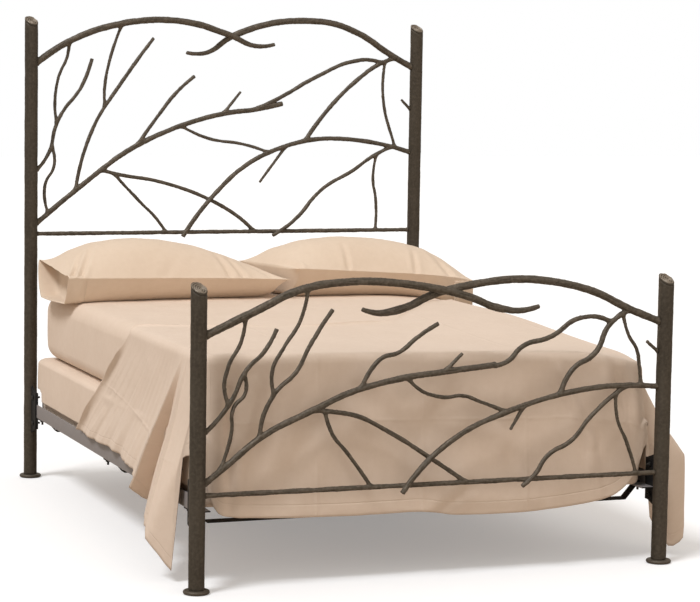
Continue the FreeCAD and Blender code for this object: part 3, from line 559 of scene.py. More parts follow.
def forgePanel(end):
    members = [f"{end}_{name}" for name in boughNames + twigNames + postNames]
    trees = {name: nodeTree(name) for name in members}
    for name in members:
        short = name[len(end) + 1:]
        if short in postNames:
            forge(name, forgeSetup["postVoxel"], forgeSetup["postHammerDepth"], forgeSetup["postSwellDepth"],
                  [], postIron, forgeSetup["postRub"])
            continue
        near = [trees[other] for other in members
                if other != name and boxesNear(name, other, forgeSetup["nearReach"])]
        voxel = forgeSetup["boughVoxel"] if short in boughNames else forgeSetup["twigVoxel"]
        forge(name, voxel, forgeSetup["hammerDepth"], forgeSetup["swellDepth"], near, forgedIron,
              forgeSetup["rubAndPaintedLight"])


for end in panelEnds:
    forgePanel(end)
print("iron panels forged")

capSetup = {
    "voxel": 0.0011,
    "ringSpacing": 0.0066,
    "ringDepth": 0.0015,
    "wobble": 0.0016,
    "wobbleScale": 55.0,
    "pithOffset": 0.005,
    "topSpan": (0.55, 0.8),
    "rubAndPaintedLight": (1.7, 1.6),
}


def carveCaps():
    # Sawn ends of the posts, with growth rings round an off-centre pith
    piece = copyOfNode("post_caps_sawn", "post_caps")
    applyModifier(piece, "REMESH", mode="VOXEL", voxel_size=capSetup["voxel"], use_smooth_shade=True)
    applyModifier(piece, "SMOOTH", factor=0.5, iterations=3)
    places, outward = points(piece), normals(piece)
    low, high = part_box("head_post_right")
    post = np.array((low + high) / 2)[:2]
    pith = np.where(places[:, :2] < 0, -1, 1) * post + np.array([1, -1]) * capSetup["pithOffset"]
    away = np.linalg.norm(places[:, :2] - pith, axis=1)
    warp = grainAt(places, capSetup["wobbleScale"], 3)
    ring = np.sin((away + capSetup["wobble"] * warp) / capSetup["ringSpacing"] * 2 * math.pi)
    top = smoothStep(*capSetup["topSpan"], outward[:, 2])
    setPoints(piece, places + outward * (capSetup["ringDepth"] * ring * top)[:, None])
    # the upward sawn faces are painted much lighter: partly wear on the cut metal, partly a painted
    # highlight, as these faces lie in shade
    setAttribute(piece, "rubAndPaintedLight", np.clip(top * (capSetup["rubAndPaintedLight"][0] + capSetup["rubAndPaintedLight"][1] * ring), 0.1, 3))
    piece.data.materials.append(forgedIron)
    stand(piece, "frame", "iron", "post_caps")


carveCaps()
print("post caps carved")


# Plain steel parts: softened edges on the CAD shapes

hardwareSetup = {
    "rail_brackets": ("frame", "black_steel", blackPaint, 0.0012),
    "cross_slats": ("frame", "black_steel", blackPaint, 0.001),
    "centre_leg": ("frame", "black_steel", blackPaint, 0.001),
    "centre_glide": ("glide", "black_steel", blackPaint, 0.0012),
    "side_rail_left": ("frame", "rail_paint", greyPaint, 0.001),
    "side_rail_right": ("frame", "rail_paint", greyPaint, 0.001),
    "frame_bolts": ("frame", "black_steel", zincSteel, 0.0006),
    "frame_nuts": ("frame", "black_steel", zincSteel, 0.0005),
    "post_feet": ("frame", "iron", postIron, 0.0006),
}
edgeSetup = {"flatAngle": 1, "bevelAngle": 40, "smoothAngle": 35, "plateSlack": 0.0005, "footRub": 0.35}


def blackenPlates(piece):
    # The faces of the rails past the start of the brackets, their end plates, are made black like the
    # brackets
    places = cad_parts["rail_brackets"].data.vertices
    plateStart = min(abs(vertex.co.y) for vertex in places) - edgeSetup["plateSlack"]
    piece.data.materials.append(blackPaint)
    for face in piece.data.polygons:
        if abs(face.center.y) > plateStart:
            face.material_index = 1


def softenHardware():
    for nodeName, (body, slot, material, width) in hardwareSetup.items():
        piece = copyOfNode(nodeName + "_soft", nodeName)
        bpy.ops.object.mode_set(mode="EDIT")
        bpy.ops.mesh.select_all(action="SELECT")
        bpy.ops.mesh.dissolve_limited(angle_limit=math.radians(edgeSetup["flatAngle"]))
        bpy.ops.object.mode_set(mode="OBJECT")
        applyModifier(piece, "BEVEL", width=width, segments=2, limit_method="ANGLE",
                      angle_limit=math.radians(edgeSetup["bevelAngle"]), use_clamp_overlap=True)
        onlySelect(piece)
        bpy.ops.object.shade_smooth_by_angle(angle=math.radians(edgeSetup["smoothAngle"]))
        piece.data.materials.append(material)
        if material == greyPaint:
            blackenPlates(piece)
        if material == postIron:
            setAttribute(piece, "rubAndPaintedLight", np.full(len(piece.data.vertices), edgeSetup["footRub"]))
        stand(piece, body, slot, nodeName)


softenHardware()
print("hardware softened")


# Mattress and foundation

blockSetup = {
    "mattress": {
        "body": "mattress", "edge": 0.055, "cuts": 150, "bulge": 0.006, "crown": 0.004, "rumple": 0.0016,
        "inset": 0.001, "headReach": 0.0, "overhang": 0.0, "fill": 0.9,
        "rightSlope": 0.013, "slopeStart": 0.6, "cornerSag": 0.034, "sagPower": 1.3, "sagSpan": (0.1, -0.84),
        "cornerRound": 0.022, "cornerReach": 0.11,
    },
    "foundation": {
        "body": "base", "edge": 0.022, "cuts": 120, "bulge": 0.003, "crown": 0.0, "rumple": 0.0012,
        "inset": 0.001, "headReach": 0.024, "overhang": 0.017, "fill": 1.0,
    },
    "railTop": 0.297, "padEase": 0.014, "plateSpan": (0.965, 0.985), "plateRise": 0.046,
    "footCorner": {"draw": 0.008, "reach": 0.045},
    "foldScale": 9.0, "foldStretch": (1, 1, 0.35), "fineScale": 30.0, "fineStretch": (1, 1, 0.5),
    "fineShare": 0.5,
}


def bedTop(x, y):
    setup = blockSetup["mattress"]
    low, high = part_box("mattress")
    across = np.clip(np.abs(x) / high.x, 0, 1)
    along = np.clip(np.abs(y) / high.y, 0, 1)
    crown = setup["crown"] * (1 - across ** 4) * (1 - along ** 4)
    slope = setup["rightSlope"] * smoothStep(setup["slopeStart"] * high.x, high.x, x)
    share = np.clip((x - low.x) / (high.x - low.x), 0, 1) ** setup["sagPower"]
    sag = setup["cornerSag"] * share * smoothStep(*(high.y * part for part in setup["sagSpan"]), y)
    cornerGap = ((x - high.x) ** 2 + (y - low.y) ** 2) / setup["cornerReach"] ** 2
    return high.z + crown - slope - sag - setup["cornerRound"] * np.exp(-cornerGap)


def bedSurface(x, y):
    # The mattress top with its rounded side edges
    edge = blockSetup["mattress"]["edge"]
    past = np.clip(np.abs(x) - (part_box("mattress")[1].x - edge), 0, edge)
    return bedTop(x, y) - edge + np.sqrt(edge ** 2 - past ** 2)


def makeBlock(nodeName):
    setup = blockSetup[nodeName]
    low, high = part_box(nodeName)
    high.y += setup["headReach"]
    half = (high - low) / 2 - Vector((setup["inset"],) * 3)
    middle = (high + low) / 2
    bpy.ops.object.select_all(action="DESELECT")
    bpy.ops.mesh.primitive_cube_add(size=2)
    piece = bpy.context.object
    piece.name = nodeName + "_cover"
    bpy.ops.object.mode_set(mode="EDIT")
    bpy.ops.mesh.select_all(action="SELECT")
    bpy.ops.mesh.subdivide(number_cuts=setup["cuts"])
    bpy.ops.object.mode_set(mode="OBJECT")
    unit = points(piece)
    scaled = unit * np.array(half)
    core = np.clip(scaled, -np.array(half) + setup["edge"], np.array(half) - setup["edge"])
    away = scaled - core
    reach = np.linalg.norm(away, axis=1, keepdims=True)
    facing = np.where(reach > 1e-9, away / np.maximum(reach, 1e-9), 0)
    rounded = core + facing * setup["edge"]
    side = 1 - np.abs(facing[:, 2])
    level = rounded[:, 2] / half.z
    rounded[:, :2] += facing[:, :2] * (setup["bulge"] * side * (1 - level ** 2) - setup["bulge"])[:, None]
    placed = rounded + np.array(middle)
    fold = grainAt(placed * np.array(blockSetup["foldStretch"]), blockSetup["foldScale"], 3)
    fine = grainAt(placed * np.array(blockSetup["fineStretch"]), blockSetup["fineScale"], 2)
    # the faces that lie on each other stay flat
    flatFace = np.abs(facing[:, 2]) if nodeName == "foundation" else np.clip(-facing[:, 2], 0, 1)
    crumple = setup["rumple"] * (fold + blockSetup["fineShare"] * fine) * (1 - flatFace)
    placed += facing * crumple[:, None]
    # above the rails and their end plates the foundation's padding swells out towards them
    byPlate = smoothStep(*blockSetup["plateSpan"], np.abs(placed[:, 1]))
    padStart = blockSetup["railTop"] + blockSetup["plateRise"] * byPlate
    swollen = smoothStep(0, blockSetup["padEase"], placed[:, 2] - padStart)
    placed[:, 0] += setup["overhang"] * facing[:, 0] * swollen
    if nodeName == "foundation":
        # the corners under the sheet's folds are rounder
        corner = blockSetup["footCorner"]
        gap = np.hypot(high.x + setup["overhang"] - np.abs(placed[:, 0]), placed[:, 1] - low.y)
        drawn = corner["draw"] * np.exp(-(gap / corner["reach"]) ** 2)
        placed[:, 0] -= np.sign(placed[:, 0]) * drawn
        placed[:, 1] += drawn
    if nodeName == "mattress":
        placed[:, 2] += np.clip(level, 0, 1) * (bedTop(placed[:, 0], placed[:, 1]) - high.z)
    setPoints(piece, placed)
    onlySelect(piece)
    bpy.ops.object.shade_smooth()
    piece.data.materials.append(fittedCotton)
    return stand(piece, setup["body"], "linen", nodeName)


for nodeName in ("foundation", "mattress"):
    makeBlock(nodeName)
print("mattress and foundation covered")


# Pillows

pillowSetup = {
    "left": {
        "node": "pillow_left", "body": "left_pillow", "mouthAt": 0,
        "front": (-0.776, 0.095), "back": (-0.790, -0.012), "depth": (0.590, 0.985),
        "shares": (0, 0.03, 0.09, 0.18, 0.3, 0.4, 0.53, 0.67, 0.8, 0.9, 0.96, 1),
        "top": (0.842, 0.862, 0.900, 0.932, 0.948, 0.951, 0.942, 0.918, 0.882, 0.848, 0.822, 0.802),
        "seam": (0.822, 0.822, 0.820, 0.818, 0.816, 0.815, 0.813, 0.811, 0.808, 0.805, 0.803, 0.801),
        "seamBack": (0.858, 0.856, 0.848, 0.835, 0.825, 0.820, 0.815, 0.811, 0.808, 0.805, 0.803, 0.801),
        "bottom": (0.724, 0.725, 0.725, 0.725, 0.725, 0.725, 0.725, 0.725, 0.725, 0.727, 0.738, 0.795),
        "squareness": (16, 13, 9, 6, 4.6, 4.0, 3.6, 3.3, 3.2, 3.2, 3.2, 3.2),
        "creases": (
            ((-0.755, 0.605), (-0.690, 0.735), 0.009, 0.010),
            ((-0.728, 0.600), (-0.640, 0.755), 0.010, 0.009),
            ((-0.14, 0.60), (-0.175, 0.70), 0.011, 0.008), ((-0.09, 0.60), (-0.13, 0.69), 0.010, 0.007),
            ((0.03, 0.60), (-0.06, 0.72), 0.012, 0.005), ((-0.40, 0.60), (-0.34, 0.66), 0.016, 0.004),
        ),
    },
    "right": {
        "node": "pillow_right", "body": "right_pillow", "mouthAt": 1,
        "front": (0.118, 0.852), "back": (0.012, 0.872), "depth": (0.590, 0.985),
        "shares": (0, 0.03, 0.08, 0.18, 0.3, 0.4, 0.53, 0.67, 0.8, 0.9, 0.96, 1),
        "top": (0.846, 0.872, 0.905, 0.932, 0.945, 0.947, 0.941, 0.927, 0.900, 0.862, 0.828, 0.800),
        "seam": (0.842, 0.842, 0.840, 0.836, 0.830, 0.826, 0.820, 0.814, 0.806, 0.798, 0.791, 0.785),
        "seamBack": (0.842, 0.842, 0.840, 0.836, 0.830, 0.826, 0.822, 0.822, 0.825, 0.825, 0.818, 0.812),
        "bottom": (0.835, 0.735, 0.726, 0.725, 0.725, 0.725, 0.725, 0.722, 0.705, 0.684, 0.676, 0.668),
        "squareness": (3.2, 3.2, 3.2, 3.2, 3.2, 3.2, 3.4, 3.8, 5, 8, 10, 12),
        "creases": (
            ((0.130, 0.600), (0.100, 0.700), 0.012, 0.008), ((0.335, 0.595), (0.345, 0.690), 0.010, 0.008),
            ((0.615, 0.595), (0.640, 0.700), 0.010, 0.008), ((0.760, 0.600), (0.720, 0.720), 0.014, 0.006),
        ),
    },
    "columns": 150, "across": 46, "blur": 0.12, "crownPower": 2.5, "underFill": 1.18,
    "backRound": (0.04, 1.8),
    "seamLip": 0.004, "seamPower": 12, "drawIn": 0.014,
    "rumple": 0.0024, "waveScale": 11.0, "waveStretch": (1, 0.6, 1), "fineScale": 34.0, "fineShare": 0.4,
    "underShare": 0.3, "seamCalm": 6, "creaseCalm": 36,
    "lip": 0.026, "lipReach": 0.1, "lipPower": 0.6, "bedGap": 0.001, "mergeGap": 0.0002,
    "lining": ((0.004, 0.965), (0.025, 0.95), (0.05, 0.93), (0.075, 0.9)), "fill": 0.7,
}


creaseSetup = {"fade": 0.75, "valley": 1.35, "ridge": 0.7, "ridgeAt": 1.9}


def creaseDepth(x, y, creases, easeIn=0.0):
    # Each crease is a valley between two low ridges, deepest where it starts
    drop = np.zeros_like(x)
    for (x0, y0), (x1, y1), width, depth in creases:
        along = np.array([x1 - x0, y1 - y0])
        share = ((x - x0) * along[0] + (y - y0) * along[1]) / along.dot(along)
        held = np.clip(share, 0, 1)
        gap = np.hypot(x - x0 - held * along[0], y - y0 - held * along[1])
        fade = 1 - creaseSetup["fade"] * held
        if easeIn:
            fade = fade * smoothStep(-easeIn, easeIn, share)
        valley = creaseSetup["valley"] * np.exp(-(gap / width) ** 2)
        ridge = creaseSetup["ridge"] * np.exp(-((gap - creaseSetup["ridgeAt"] * width) / width) ** 2)
        drop += depth * fade * (valley - ridge)
    return drop


def pillowRing(setup, share, count):
    # One closed section across the case: over the top from front to back, then back underneath
    blur = share + pillowSetup["blur"] * share * (1 - share) * np.linspace(-1, 1, 9)
    top, seamFront, seamBack, bottom, square = (np.interp(blur, setup["shares"], setup[key]).mean() for key in
                                                ("top", "seam", "seamBack", "bottom", "squareness"))
    turn = np.linspace(0, math.pi, count)
    over = -np.cos(turn)
    t = np.concatenate([over, over[::-1][1:-1]])
    upper = np.concatenate([np.ones(count, bool), np.zeros(count - 2, bool)])
    drawn = pillowSetup["drawIn"] * 4 * share * (1 - share)
    front, back = setup["depth"][0] + drawn, setup["depth"][1] - drawn
    y = (front + back) / 2 + t * (back - front) / 2
    low, high = (setup[key][0] + share * (setup[key][1] - setup[key][0]) for key in ("front", "back"))
    x = low + (t + 1) / 2 * (high - low)
    seam = seamFront + (t + 1) / 2 * (seamBack - seamFront)
    crown = (top - (seamFront + seamBack) / 2) * (1 - np.abs(t) ** pillowSetup["crownPower"])
    power = np.where(t < 0, square, pillowSetup["backRound"][0] * square + pillowSetup["backRound"][1])
    under = (seam - bottom) * np.clip(pillowSetup["underFill"] * (1 - np.abs(t) ** power), 0, 1)
    z = np.where(upper, seam + crown, seam - under)
    return np.stack([x, y, z], axis=1), upper, t


def makePillow(side):
    setup = pillowSetup[side]
    count, columns = pillowSetup["across"], pillowSetup["columns"]
    shares = 0.5 - 0.5 * np.cos(np.linspace(0, math.pi, columns))
    if setup["mouthAt"] == 1:
        shares = shares[::-1]
    rings = []
    for share in shares:
        ring, upper, t = pillowRing(setup, share, count)
        dent = creaseDepth(ring[:, 0], ring[:, 1], setup["creases"])
        wave = grainAt(ring * np.array(pillowSetup["waveStretch"]), pillowSetup["waveScale"], 3)
        wave += pillowSetup["fineShare"] * grainAt(ring, pillowSetup["fineScale"], 2)
        swell = pillowSetup["rumple"] * wave * (1 - np.abs(t) ** pillowSetup["seamCalm"])
        dent *= 1 - np.abs(t) ** pillowSetup["creaseCalm"]
        ring[:, 2] += np.where(upper, swell - dent, pillowSetup["underShare"] * swell)
        front = np.clip(-t, 0, 1) ** pillowSetup["seamPower"]
        ring[:, 1] -= front * pillowSetup["seamLip"]
        # the lower lip of the open end stands out further than the upper one
        nearMouth = np.clip(1 - abs(share - setup["mouthAt"]) / pillowSetup["lipReach"], 0, 1) ** 2
        lip = pillowSetup["lip"] * nearMouth * np.where(upper, 0, (1 - t ** 2) ** pillowSetup["lipPower"])
        ring[:, 0] += lip * (1 if setup["mouthAt"] else -1)
        bed = bedSurface(ring[:, 0], ring[:, 1]) + pillowSetup["bedGap"]
        ring[:, 2] = np.maximum(ring[:, 2], bed)
        rings.append(ring)
    mouth = rings[0]
    inward = 1 if setup["mouthAt"] == 0 else -1
    middle = mouth.mean(axis=0)
    lining = []
    for step, scale in pillowSetup["lining"]:
        inner = middle + (mouth - middle) * np.array([1, 1 - 0.25 * (1 - scale), scale])
        inner[:, 0] += inward * step
        lining.append(inner)
    stack = lining[::-1] + rings
    size = len(mouth)
    places = np.concatenate(stack)
    faces = []
    for row in range(len(stack) - 1):
        for k in range(size):
            nextK = (k + 1) % size
            here, above = row * size, (row + 1) * size
            faces.append((here + k, here + nextK, above + nextK, above + k))
    for first in (0, (len(stack) - 1) * size):
        for k in range(count - 2):
            upperA, upperB = first + k, first + k + 1
            lowerA, lowerB = first + (size - k) % size, first + size - k - 1
            quad = [upperA, upperB, lowerB, lowerA]
            faces.append(tuple(dict.fromkeys(quad)))
        faces.append((first + count - 2, first + count - 1, first + count))
    piece = meshPiece(f"pillow_{side}_case", places, faces)
    onlySelect(piece)
    bpy.ops.object.mode_set(mode="EDIT")
    bpy.ops.mesh.select_all(action="SELECT")
    bpy.ops.mesh.remove_doubles(threshold=pillowSetup["mergeGap"])
    bpy.ops.mesh.normals_make_consistent(inside=False)
    bpy.ops.object.mode_set(mode="OBJECT")
    piece.data.materials.append(caseCotton)
    return stand(piece, setup["body"], "linen", setup["node"])


for side in ("left", "right"):
    makePillow(side)
print("pillows made")


# Top sheet: a grid over the mattress whose rim runs on into the hanging skirt.
# Each stop on the rim has its place on the mattress edge, where it would hang at the lowest level,
# the height of its hem, how far down it has swung fully out, and how round the fold is there

sheetSetup = {
    "flat": (2.34, 2.06),
    "clear": 0.0022,
    "sideEdge": 0.767,
    "footEdge": 1.0205,
    "shoulder": 0.030,
    "lowest": 0.036,
    "sideStops": 130,
    "footStops": 140,
    "skirtRows": 56,
    "shoulderRows": 6,
    "thickness": 0.0014,
    "stopPull": 0.42,
    "edgeWeight": 0.4,
    "headMiddle": -0.15,
    "bendShares": (0.55, 0.22, 0.85),
    "headBend": (-0.305, -0.335, -0.25, 0.28),
    "leftSide": (
        (-0.767, -0.20, -0.806, 0.680, 0.300, 0.6, 1.0), (-0.767, -0.36, -0.803, 0.420, 0.296, 0.6, 1.0),
        (-0.767, -0.50, -0.806, 0.170, 0.302, 0.6, 1.0), (-0.767, -0.62, -0.812, -0.080, 0.290, 0.6, 1.0),
        (-0.767, -0.72, -0.850, -0.300, 0.280, 0.9, 1.0), (-0.769, -0.805, -0.957, -0.531, 0.257, 1.0, 0.15),
        (-0.769, -0.822, -0.805, -0.510, 0.200, 1.0, 0.15), (-0.769, -0.862, -0.909, -0.784, 0.165, 1.0, 0.3),
    ),
    "leftCorner": (-0.767, -0.985, -0.820, -0.912, 0.038, 0.5, 0.2),
    "foot": (
        (-0.766, -0.988, -0.818, -0.922, 0.400, 0.5, 0.3), (-0.755, -1.003, -0.795, -0.985, 0.400, 0.8, 1.0),
        (-0.735, -1.015, -0.752, -1.030, 0.300, 1.0, 1.0), (-0.700, -1.0205, -0.715, -1.046, 0.232, 1.0, 1.0),
        (-0.560, -1.0205, -0.570, -1.036, 0.214, 1.0, 1.0),
        (-0.280, -1.0205, -0.282, -1.046, 0.207, 1.0, 1.0),
        (-0.040, -1.0205, -0.040, -1.036, 0.206, 1.0, 1.0), (0.080, -1.0205, 0.082, -1.044, 0.192, 1.0, 1.0),
        (0.306, -1.0205, 0.308, -1.048, 0.188, 1.0, 1.0), (0.500, -1.0205, 0.506, -1.038, 0.198, 1.0, 1.0),
        (0.640, -1.0205, 0.660, -1.042, 0.226, 1.0, 1.0), (0.720, -1.019, 0.752, -1.030, 0.300, 1.0, 1.0),
        (0.752, -1.006, 0.808, -0.966, 0.400, 1.0, 0.4),
    ),
    "rightCorner": (0.765, -0.990, 0.824, -0.956, 0.130, 0.7, 0.4),
    "rightSide": (
        (0.769, -0.972, 0.880, -0.992, 0.032, 0.55, 0.7), (0.769, -0.955, 0.936, -0.985, 0.056, 0.52, 0.7),
        (0.769, -0.940, 0.950, -0.955, 0.120, 0.50, 0.6), (0.769, -0.918, 0.905, -0.890, 0.180, 0.6, 0.6),
        (0.769, -0.885, 0.812, -0.800, 0.270, 0.6, 0.4), (0.768, -0.830, 0.835, -0.640, 0.288, 0.6, 1.0),
        (0.767, -0.680, 0.815, -0.380, 0.296, 0.6, 1.0), (0.767, -0.420, 0.806, -0.080, 0.300, 0.6, 1.0),
        (0.767, -0.100, 0.810, 0.260, 0.304, 0.6, 1.0), (0.767, 0.220, 0.804, 0.560, 0.298, 0.6, 1.0),
        (0.767, 0.540, 0.808, 0.890, 0.300, 0.6, 1.0),
    ),
    # waves have a scale along the hem, a seed and a weight
    "pleats": 0.0030, "pleatWaves": ((24.0, 3.1, 1.0), (61.0, 9.7, 0.5)), "pleatStart": 0.25,
    "pleatAtFoot": 0.35,
    "gathers": 0.0095, "gatherFold": (6.0, 7.3, 2.6), "gatherRipple": (21.0, 1.9, 0.35),
    "gatherSpan": (0.32, 0.6), "gatherAtFoot": 0.3,
    "swingPower": 1.25, "hangStart": 0.12, "footFacing": (0.8, 0.95), "creaseEase": 0.3,
    "dimples": 0.0060, "dimpleScale": 4.5, "dimpleStretch": (1, 1, 0.6),
    "rumple": 0.0012, "crumpleScale": 14.0, "crumpleStretch": (1, 1, 0.4), "crumpleRise": 0.4,
    "skirtCrumple": 1.4,
    "edgeLip": 0.024, "lipStart": 0.1, "lipWave": (2.6, 4.4, 0.8), "lipBase": 0.7,
    "edgeLift": 0.010, "liftWave": (9.0, 2.2), "liftBase": 0.7,
    "edgeCurl": (0.006, 0.013),
    "edgeSteps": (0.04, 0.10, 0.20, 0.45),
    "baseClear": 0.0035,
    "baseRound": 0.022,
    "railClear": 0.0050,
    "railSpan": (0.302, 0.335),
    "footCreases": (
        ((0.430, 0.690), (0.570, 0.400), 0.015, -0.010), ((0.650, 0.660), (0.735, 0.360), 0.022, 0.013),
        ((-0.600, 0.640), (-0.660, 0.300), 0.024, -0.008), ((-0.685, 0.620), (-0.675, 0.180), 0.015, 0.013),
        ((0.555, 0.430), (0.600, 0.230), 0.016, -0.008), ((-0.260, 0.620), (-0.100, 0.450), 0.032, 0.007),
        ((0.080, 0.580), (-0.080, 0.400), 0.036, 0.007), ((0.220, 0.480), (0.340, 0.230), 0.032, -0.007),
        ((-0.400, 0.500), (-0.520, 0.260), 0.036, 0.008), ((0.000, 0.180), (0.140, 0.280), 0.016, 0.006),
    ),
}


def headSteps(count):
    # Even shares of a side, with closer ones at the curled edge nearest the pillows
    shares = np.linspace(0, 1, count)
    shares[1:5] = shares[5] * np.array(sheetSetup["edgeSteps"])
    return shares


def alongStops(stops, shares):
    # Points at these shares of the hem, on a smooth or folded curve through the stops
    table = np.array(stops, float)
    places = table[:, 2:4] + sheetSetup["edgeWeight"] * table[:, :2]
    marks = np.concatenate([[0], np.cumsum(np.linalg.norm(np.diff(places, axis=0), axis=1))])
    padded = np.concatenate([table[:1], table, table[-1:]])
    made = []
    for mark in marks[-1] * shares:
        k = min(np.searchsorted(marks, mark, side="right") - 1, len(marks) - 2)
        s = (mark - marks[k]) / (marks[k + 1] - marks[k])
        before, start, end, after = padded[k:k + 4]
        leave = sheetSetup["stopPull"] * start[6] * (end - before)
        arrive = sheetSetup["stopPull"] * end[6] * (after - start)
        made.append((2 * s**3 - 3 * s**2 + 1) * start + (s**3 - 2 * s**2 + s) * leave
                    + (3 * s**2 - 2 * s**3) * end + (s**3 - s**2) * arrive)
    return np.array(made)


def patch(left, right, foot, head):
    # Fills the top of the sheet between its four edges
    rows, columns = len(left), len(foot)
    u = np.linspace(0, 1, columns)[None, :, None]
    v = headSteps(rows)[:, None, None]
    ruledAcross = left[:, None] * (1 - u) + right[:, None] * u
    ruledAlong = head[None] * (1 - v) + foot[None] * v
    headCorners = (1 - v) * ((1 - u) * left[0] + u * right[0])
    footCorners = v * ((1 - u) * left[-1] + u * right[-1])
    return ruledAcross + ruledAlong - headCorners - footCorners


def waver(marks, scale, seed):
    return np.array([noise.noise(Vector((mark * scale, seed, 0.5))) for mark in marks])


def sheetTop(rim):
    # The part that lies on the mattress, one shoulder inside the rim, with its head edge a little raised
    setup, sides = sheetSetup, sheetSetup["sideStops"]
    inner = rim[:, :2].copy()
    reach = setup["sideEdge"] - setup["shoulder"]
    inner[:, 0] = np.clip(inner[:, 0], -reach, reach)
    inner[:, 1] = np.maximum(inner[:, 1], setup["shoulder"] - setup["footEdge"])
    left, right = inner[:sides], inner[len(inner) - sides:][::-1]
    foot = inner[sides - 1:len(inner) - sides + 1]
    share = np.linspace(0, 1, setup["footStops"])
    bend = (setup["headMiddle"] - left[0, 0]) / (right[0, 0] - left[0, 0])
    before, after, last = setup["bendShares"]
    headY = np.interp(share, [0, bend * before, bend, bend + after, last, 1],
                      [left[0, 1], *setup["headBend"], right[0, 1]])
    head = np.stack([left[0, 0] + share * (right[0, 0] - left[0, 0]), headY], axis=1)
    flat = patch(left, right, foot, head)
    edgeGap = np.linalg.norm(flat - flat[:1], axis=2)
    uneven = setup["liftBase"] + waver(share, *setup["liftWave"])
    rise = setup["edgeLift"] * np.exp(-edgeGap / setup["edgeCurl"][0]) * uneven[None]
    z = bedTop(flat[..., 0], flat[..., 1]) + setup["clear"] + np.maximum(rise, 0)
    return inner, np.concatenate([flat, z[..., None]], axis=2), edgeGap


def sheetSkirt(rim, inner, rimTop, outward):
    # Rows of points from the rolled shoulder down to the hem
    setup, sides = sheetSetup, sheetSetup["sideStops"]
    layers = []
    for turn in np.linspace(0, math.pi / 2, setup["shoulderRows"] + 1)[1:]:
        ring = rimTop.copy()
        ring[:, :2] = inner + (rim[:, :2] - inner) * math.sin(turn)
        ring[:, 2] -= setup["shoulder"] * (1 - math.cos(turn))
        layers.append(ring)
    startZ = layers[-1][:, 2]
    mark = np.concatenate([[0], np.cumsum(np.linalg.norm(np.diff(rim[:, 2:4], axis=0), axis=1))])
    pleat = sum(weight * waver(mark, scale, seed) for scale, seed, weight in setup["pleatWaves"])
    foldScale, foldSeed, foldWeight = setup["gatherFold"]
    rippleScale, rippleSeed, rippleWeight = setup["gatherRipple"]
    gather = 1 - foldWeight * np.abs(waver(mark, foldScale, foldSeed))
    gather += rippleWeight * waver(mark, rippleScale, rippleSeed)
    lipScale, lipSeed, lipWeight = setup["lipWave"]
    onSide = np.zeros(len(rim))
    onSide[:sides] = 1
    onSide[len(rim) - sides:] = 1
    pleatShare = setup["pleatAtFoot"] + (1 - setup["pleatAtFoot"]) * onSide
    gatherShare = setup["gatherAtFoot"] + (1 - setup["gatherAtFoot"]) * onSide
    fromHead = np.minimum(mark, mark[-1] - mark)
    for step in np.linspace(0, 1, setup["skirtRows"] + 1)[1:]:
        z = startZ + (rim[:, 4] - startZ) * step
        drop = np.clip((startZ - z) / (startZ - setup["lowest"]), 0, 1)
        ring = np.zeros((len(rim), 3))
        swing = np.clip(drop / rim[:, 5], 0, 1) ** np.where(rim[:, 5] < 1, setup["swingPower"], 1)
        ring[:, 0] = rim[:, 0] + (rim[:, 2] - rim[:, 0]) * swing
        ring[:, 1] = rim[:, 1] + (rim[:, 3] - rim[:, 1]) * drop
        lift = pleat * setup["pleats"] * np.clip(drop / setup["pleatStart"], 0, 1) * pleatShare
        lift += gather * setup["gathers"] * smoothStep(*setup["gatherSpan"], drop) * gatherShare
        stray = setup["lipBase"] + lipWeight * noise.noise(Vector((step * lipScale, lipSeed, 0)))
        curl = np.exp(-(fromHead / setup["edgeCurl"][1]) ** 2)
        lift += setup["edgeLip"] * stray * curl * np.clip(drop / setup["lipStart"], 0, 1)
        ring[:, :2] += outward * lift[:, None]
        ring[:, 2] = z
        layers.append(ring)
    return layers


def clearOfBase(places):
    # Hanging cloth lies outside the foundation's padding and, further down, outside the rails
    setup, block = sheetSetup, blockSetup["foundation"]
    low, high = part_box("foundation")
    edge = block["edge"]
    past = places[:, 2] - (high.z - edge)
    rounded = edge - np.sqrt(edge ** 2 - np.clip(past, 0, edge) ** 2)
    tuck = np.where(past < edge, rounded, past)
    padSide = high.x + block["overhang"] - block["inset"] + setup["baseClear"] - tuck
    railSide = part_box("side_rail_right")[1].x + setup["railClear"]
    side = padSide + (railSide - padSide) * (1 - smoothStep(*setup["railSpan"], places[:, 2]))
    end = -low.y - block["inset"] + setup["baseClear"] - tuck
    half = np.stack([side, end], axis=1) - setup["baseRound"]
    gap = np.abs(places[:, :2]) - half
    corner = np.linalg.norm(np.maximum(gap, 0), axis=1)
    inside = np.minimum(gap.max(axis=1), 0)
    short = np.clip(setup["baseRound"] - corner - inside, 0, None)
    along = np.where(inside[:, None] < 0, gap == gap.max(axis=1, keepdims=True), np.maximum(gap, 0))
    along = along / np.maximum(np.linalg.norm(along, axis=1, keepdims=True), 1e-9)
    places[:, :2] += np.sign(places[:, :2]) * along * short[:, None]


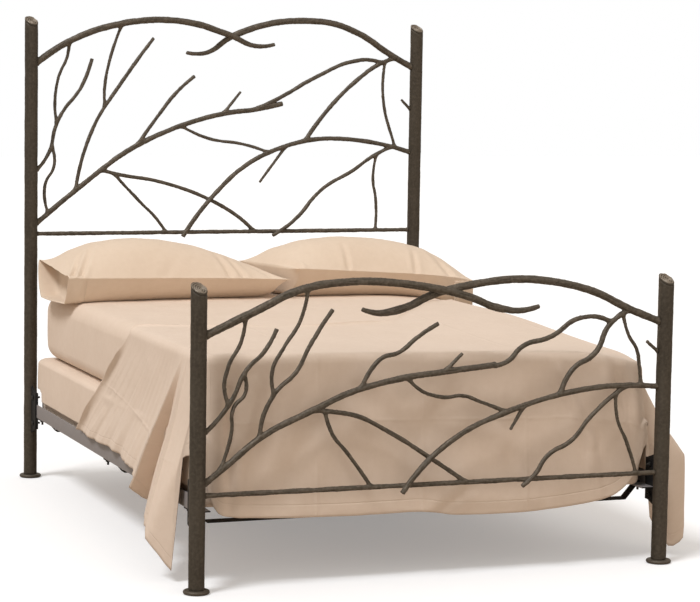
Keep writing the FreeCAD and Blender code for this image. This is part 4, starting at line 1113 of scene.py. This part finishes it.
def makeTopSheet():
    setup, sides = sheetSetup, sheetSetup["sideStops"]
    even = np.linspace(0, 1, setup["footStops"])
    leftStops = alongStops(setup["leftSide"] + (setup["leftCorner"],), headSteps(sides))
    footStops = alongStops((setup["leftCorner"],) + setup["foot"] + (setup["rightCorner"],), even)
    rightStops = alongStops((setup["rightCorner"],) + setup["rightSide"], 1 - headSteps(sides)[::-1])
    rim = np.concatenate([leftStops, footStops[1:-1], rightStops])
    inner, top, edgeGap = sheetTop(rim)
    rows, columns = top.shape[:2]
    top = top.reshape(-1, 3)
    index = np.arange(rows * columns).reshape(rows, columns)
    rimIndex = np.concatenate([index[:, 0], index[-1, 1:-1], index[::-1, -1]])
    rimTop = top[rimIndex]
    outward = rim[:, :2] - inner
    outward /= np.maximum(np.linalg.norm(outward, axis=1, keepdims=True), 1e-6)
    layers = sheetSkirt(rim, inner, rimTop, outward)
    places = np.concatenate([top] + layers)
    dimple = grainAt(places * np.array(setup["dimpleStretch"]), setup["dimpleScale"], 2)
    crumple = grainAt(places * np.array(setup["crumpleStretch"]), setup["crumpleScale"], 3)
    count = len(top)
    places[:count, 2] += setup["rumple"] * (crumple[:count] + setup["crumpleRise"])
    swell = setup["dimples"] * dimple[count:]
    swell += setup["skirtCrumple"] * setup["rumple"] * crumple[count:]
    hanging = places[count:]
    atFoot = np.tile(smoothStep(*setup["footFacing"], -outward[:, 1]), len(layers))
    swell -= atFoot * creaseDepth(hanging[:, 0], hanging[:, 2], setup["footCreases"], setup["creaseEase"])
    swell *= smoothStep(0, setup["hangStart"], rimTop[0, 2] - hanging[:, 2])
    places[count:, :2] += np.tile(outward, (len(layers), 1)) * swell[:, None]
    clearOfBase(places[count:])
    faces = []
    for r in range(rows - 1):
        for c in range(columns - 1):
            faces.append((index[r, c], index[r + 1, c], index[r + 1, c + 1], index[r, c + 1]))
    rings = [rimIndex] + [count + n * len(rim) + np.arange(len(rim)) for n in range(len(layers))]
    for upper, lower in zip(rings, rings[1:]):
        for k in range(len(rim) - 1):
            faces.append((upper[k], lower[k], lower[k + 1], upper[k + 1]))
    piece = meshPiece("top_sheet_cloth", places, [tuple(int(v) for v in face) for face in faces])
    cutPattern(piece, places, rings, outward, edgeGap.ravel())
    applyModifier(piece, "SOLIDIFY", thickness=setup["thickness"], offset=0.0)
    piece.data.materials.append(sheetCotton)
    return stand(piece, "mattress", "linen", "top_sheet")


def cutPattern(piece, places, rings, outward, edgeGap):
    # The cloth laid flat, in metres, and how far each point is from the nearest hem
    pattern = places[:, :2].copy()
    steps = [np.linalg.norm(places[lower] - places[upper], axis=1) for upper, lower in zip(rings, rings[1:])]
    reach = np.cumsum(steps, axis=0)
    hemGap = np.full(len(places), 1.0)
    hemGap[:len(edgeGap)] = edgeGap
    for level, ring in enumerate(rings[1:]):
        pattern[ring] = places[rings[0], :2] + outward * reach[level][:, None]
        hemGap[ring] = reach[-1] - reach[level]
    loops = np.zeros(len(piece.data.loops), int)
    piece.data.loops.foreach_get("vertex_index", loops)
    piece.data.uv_layers.new(name="cut").data.foreach_set("uv", pattern[loops].ravel())
    setAttribute(piece, "hemGap", hemGap)


makeTopSheet()
print("top sheet draped")
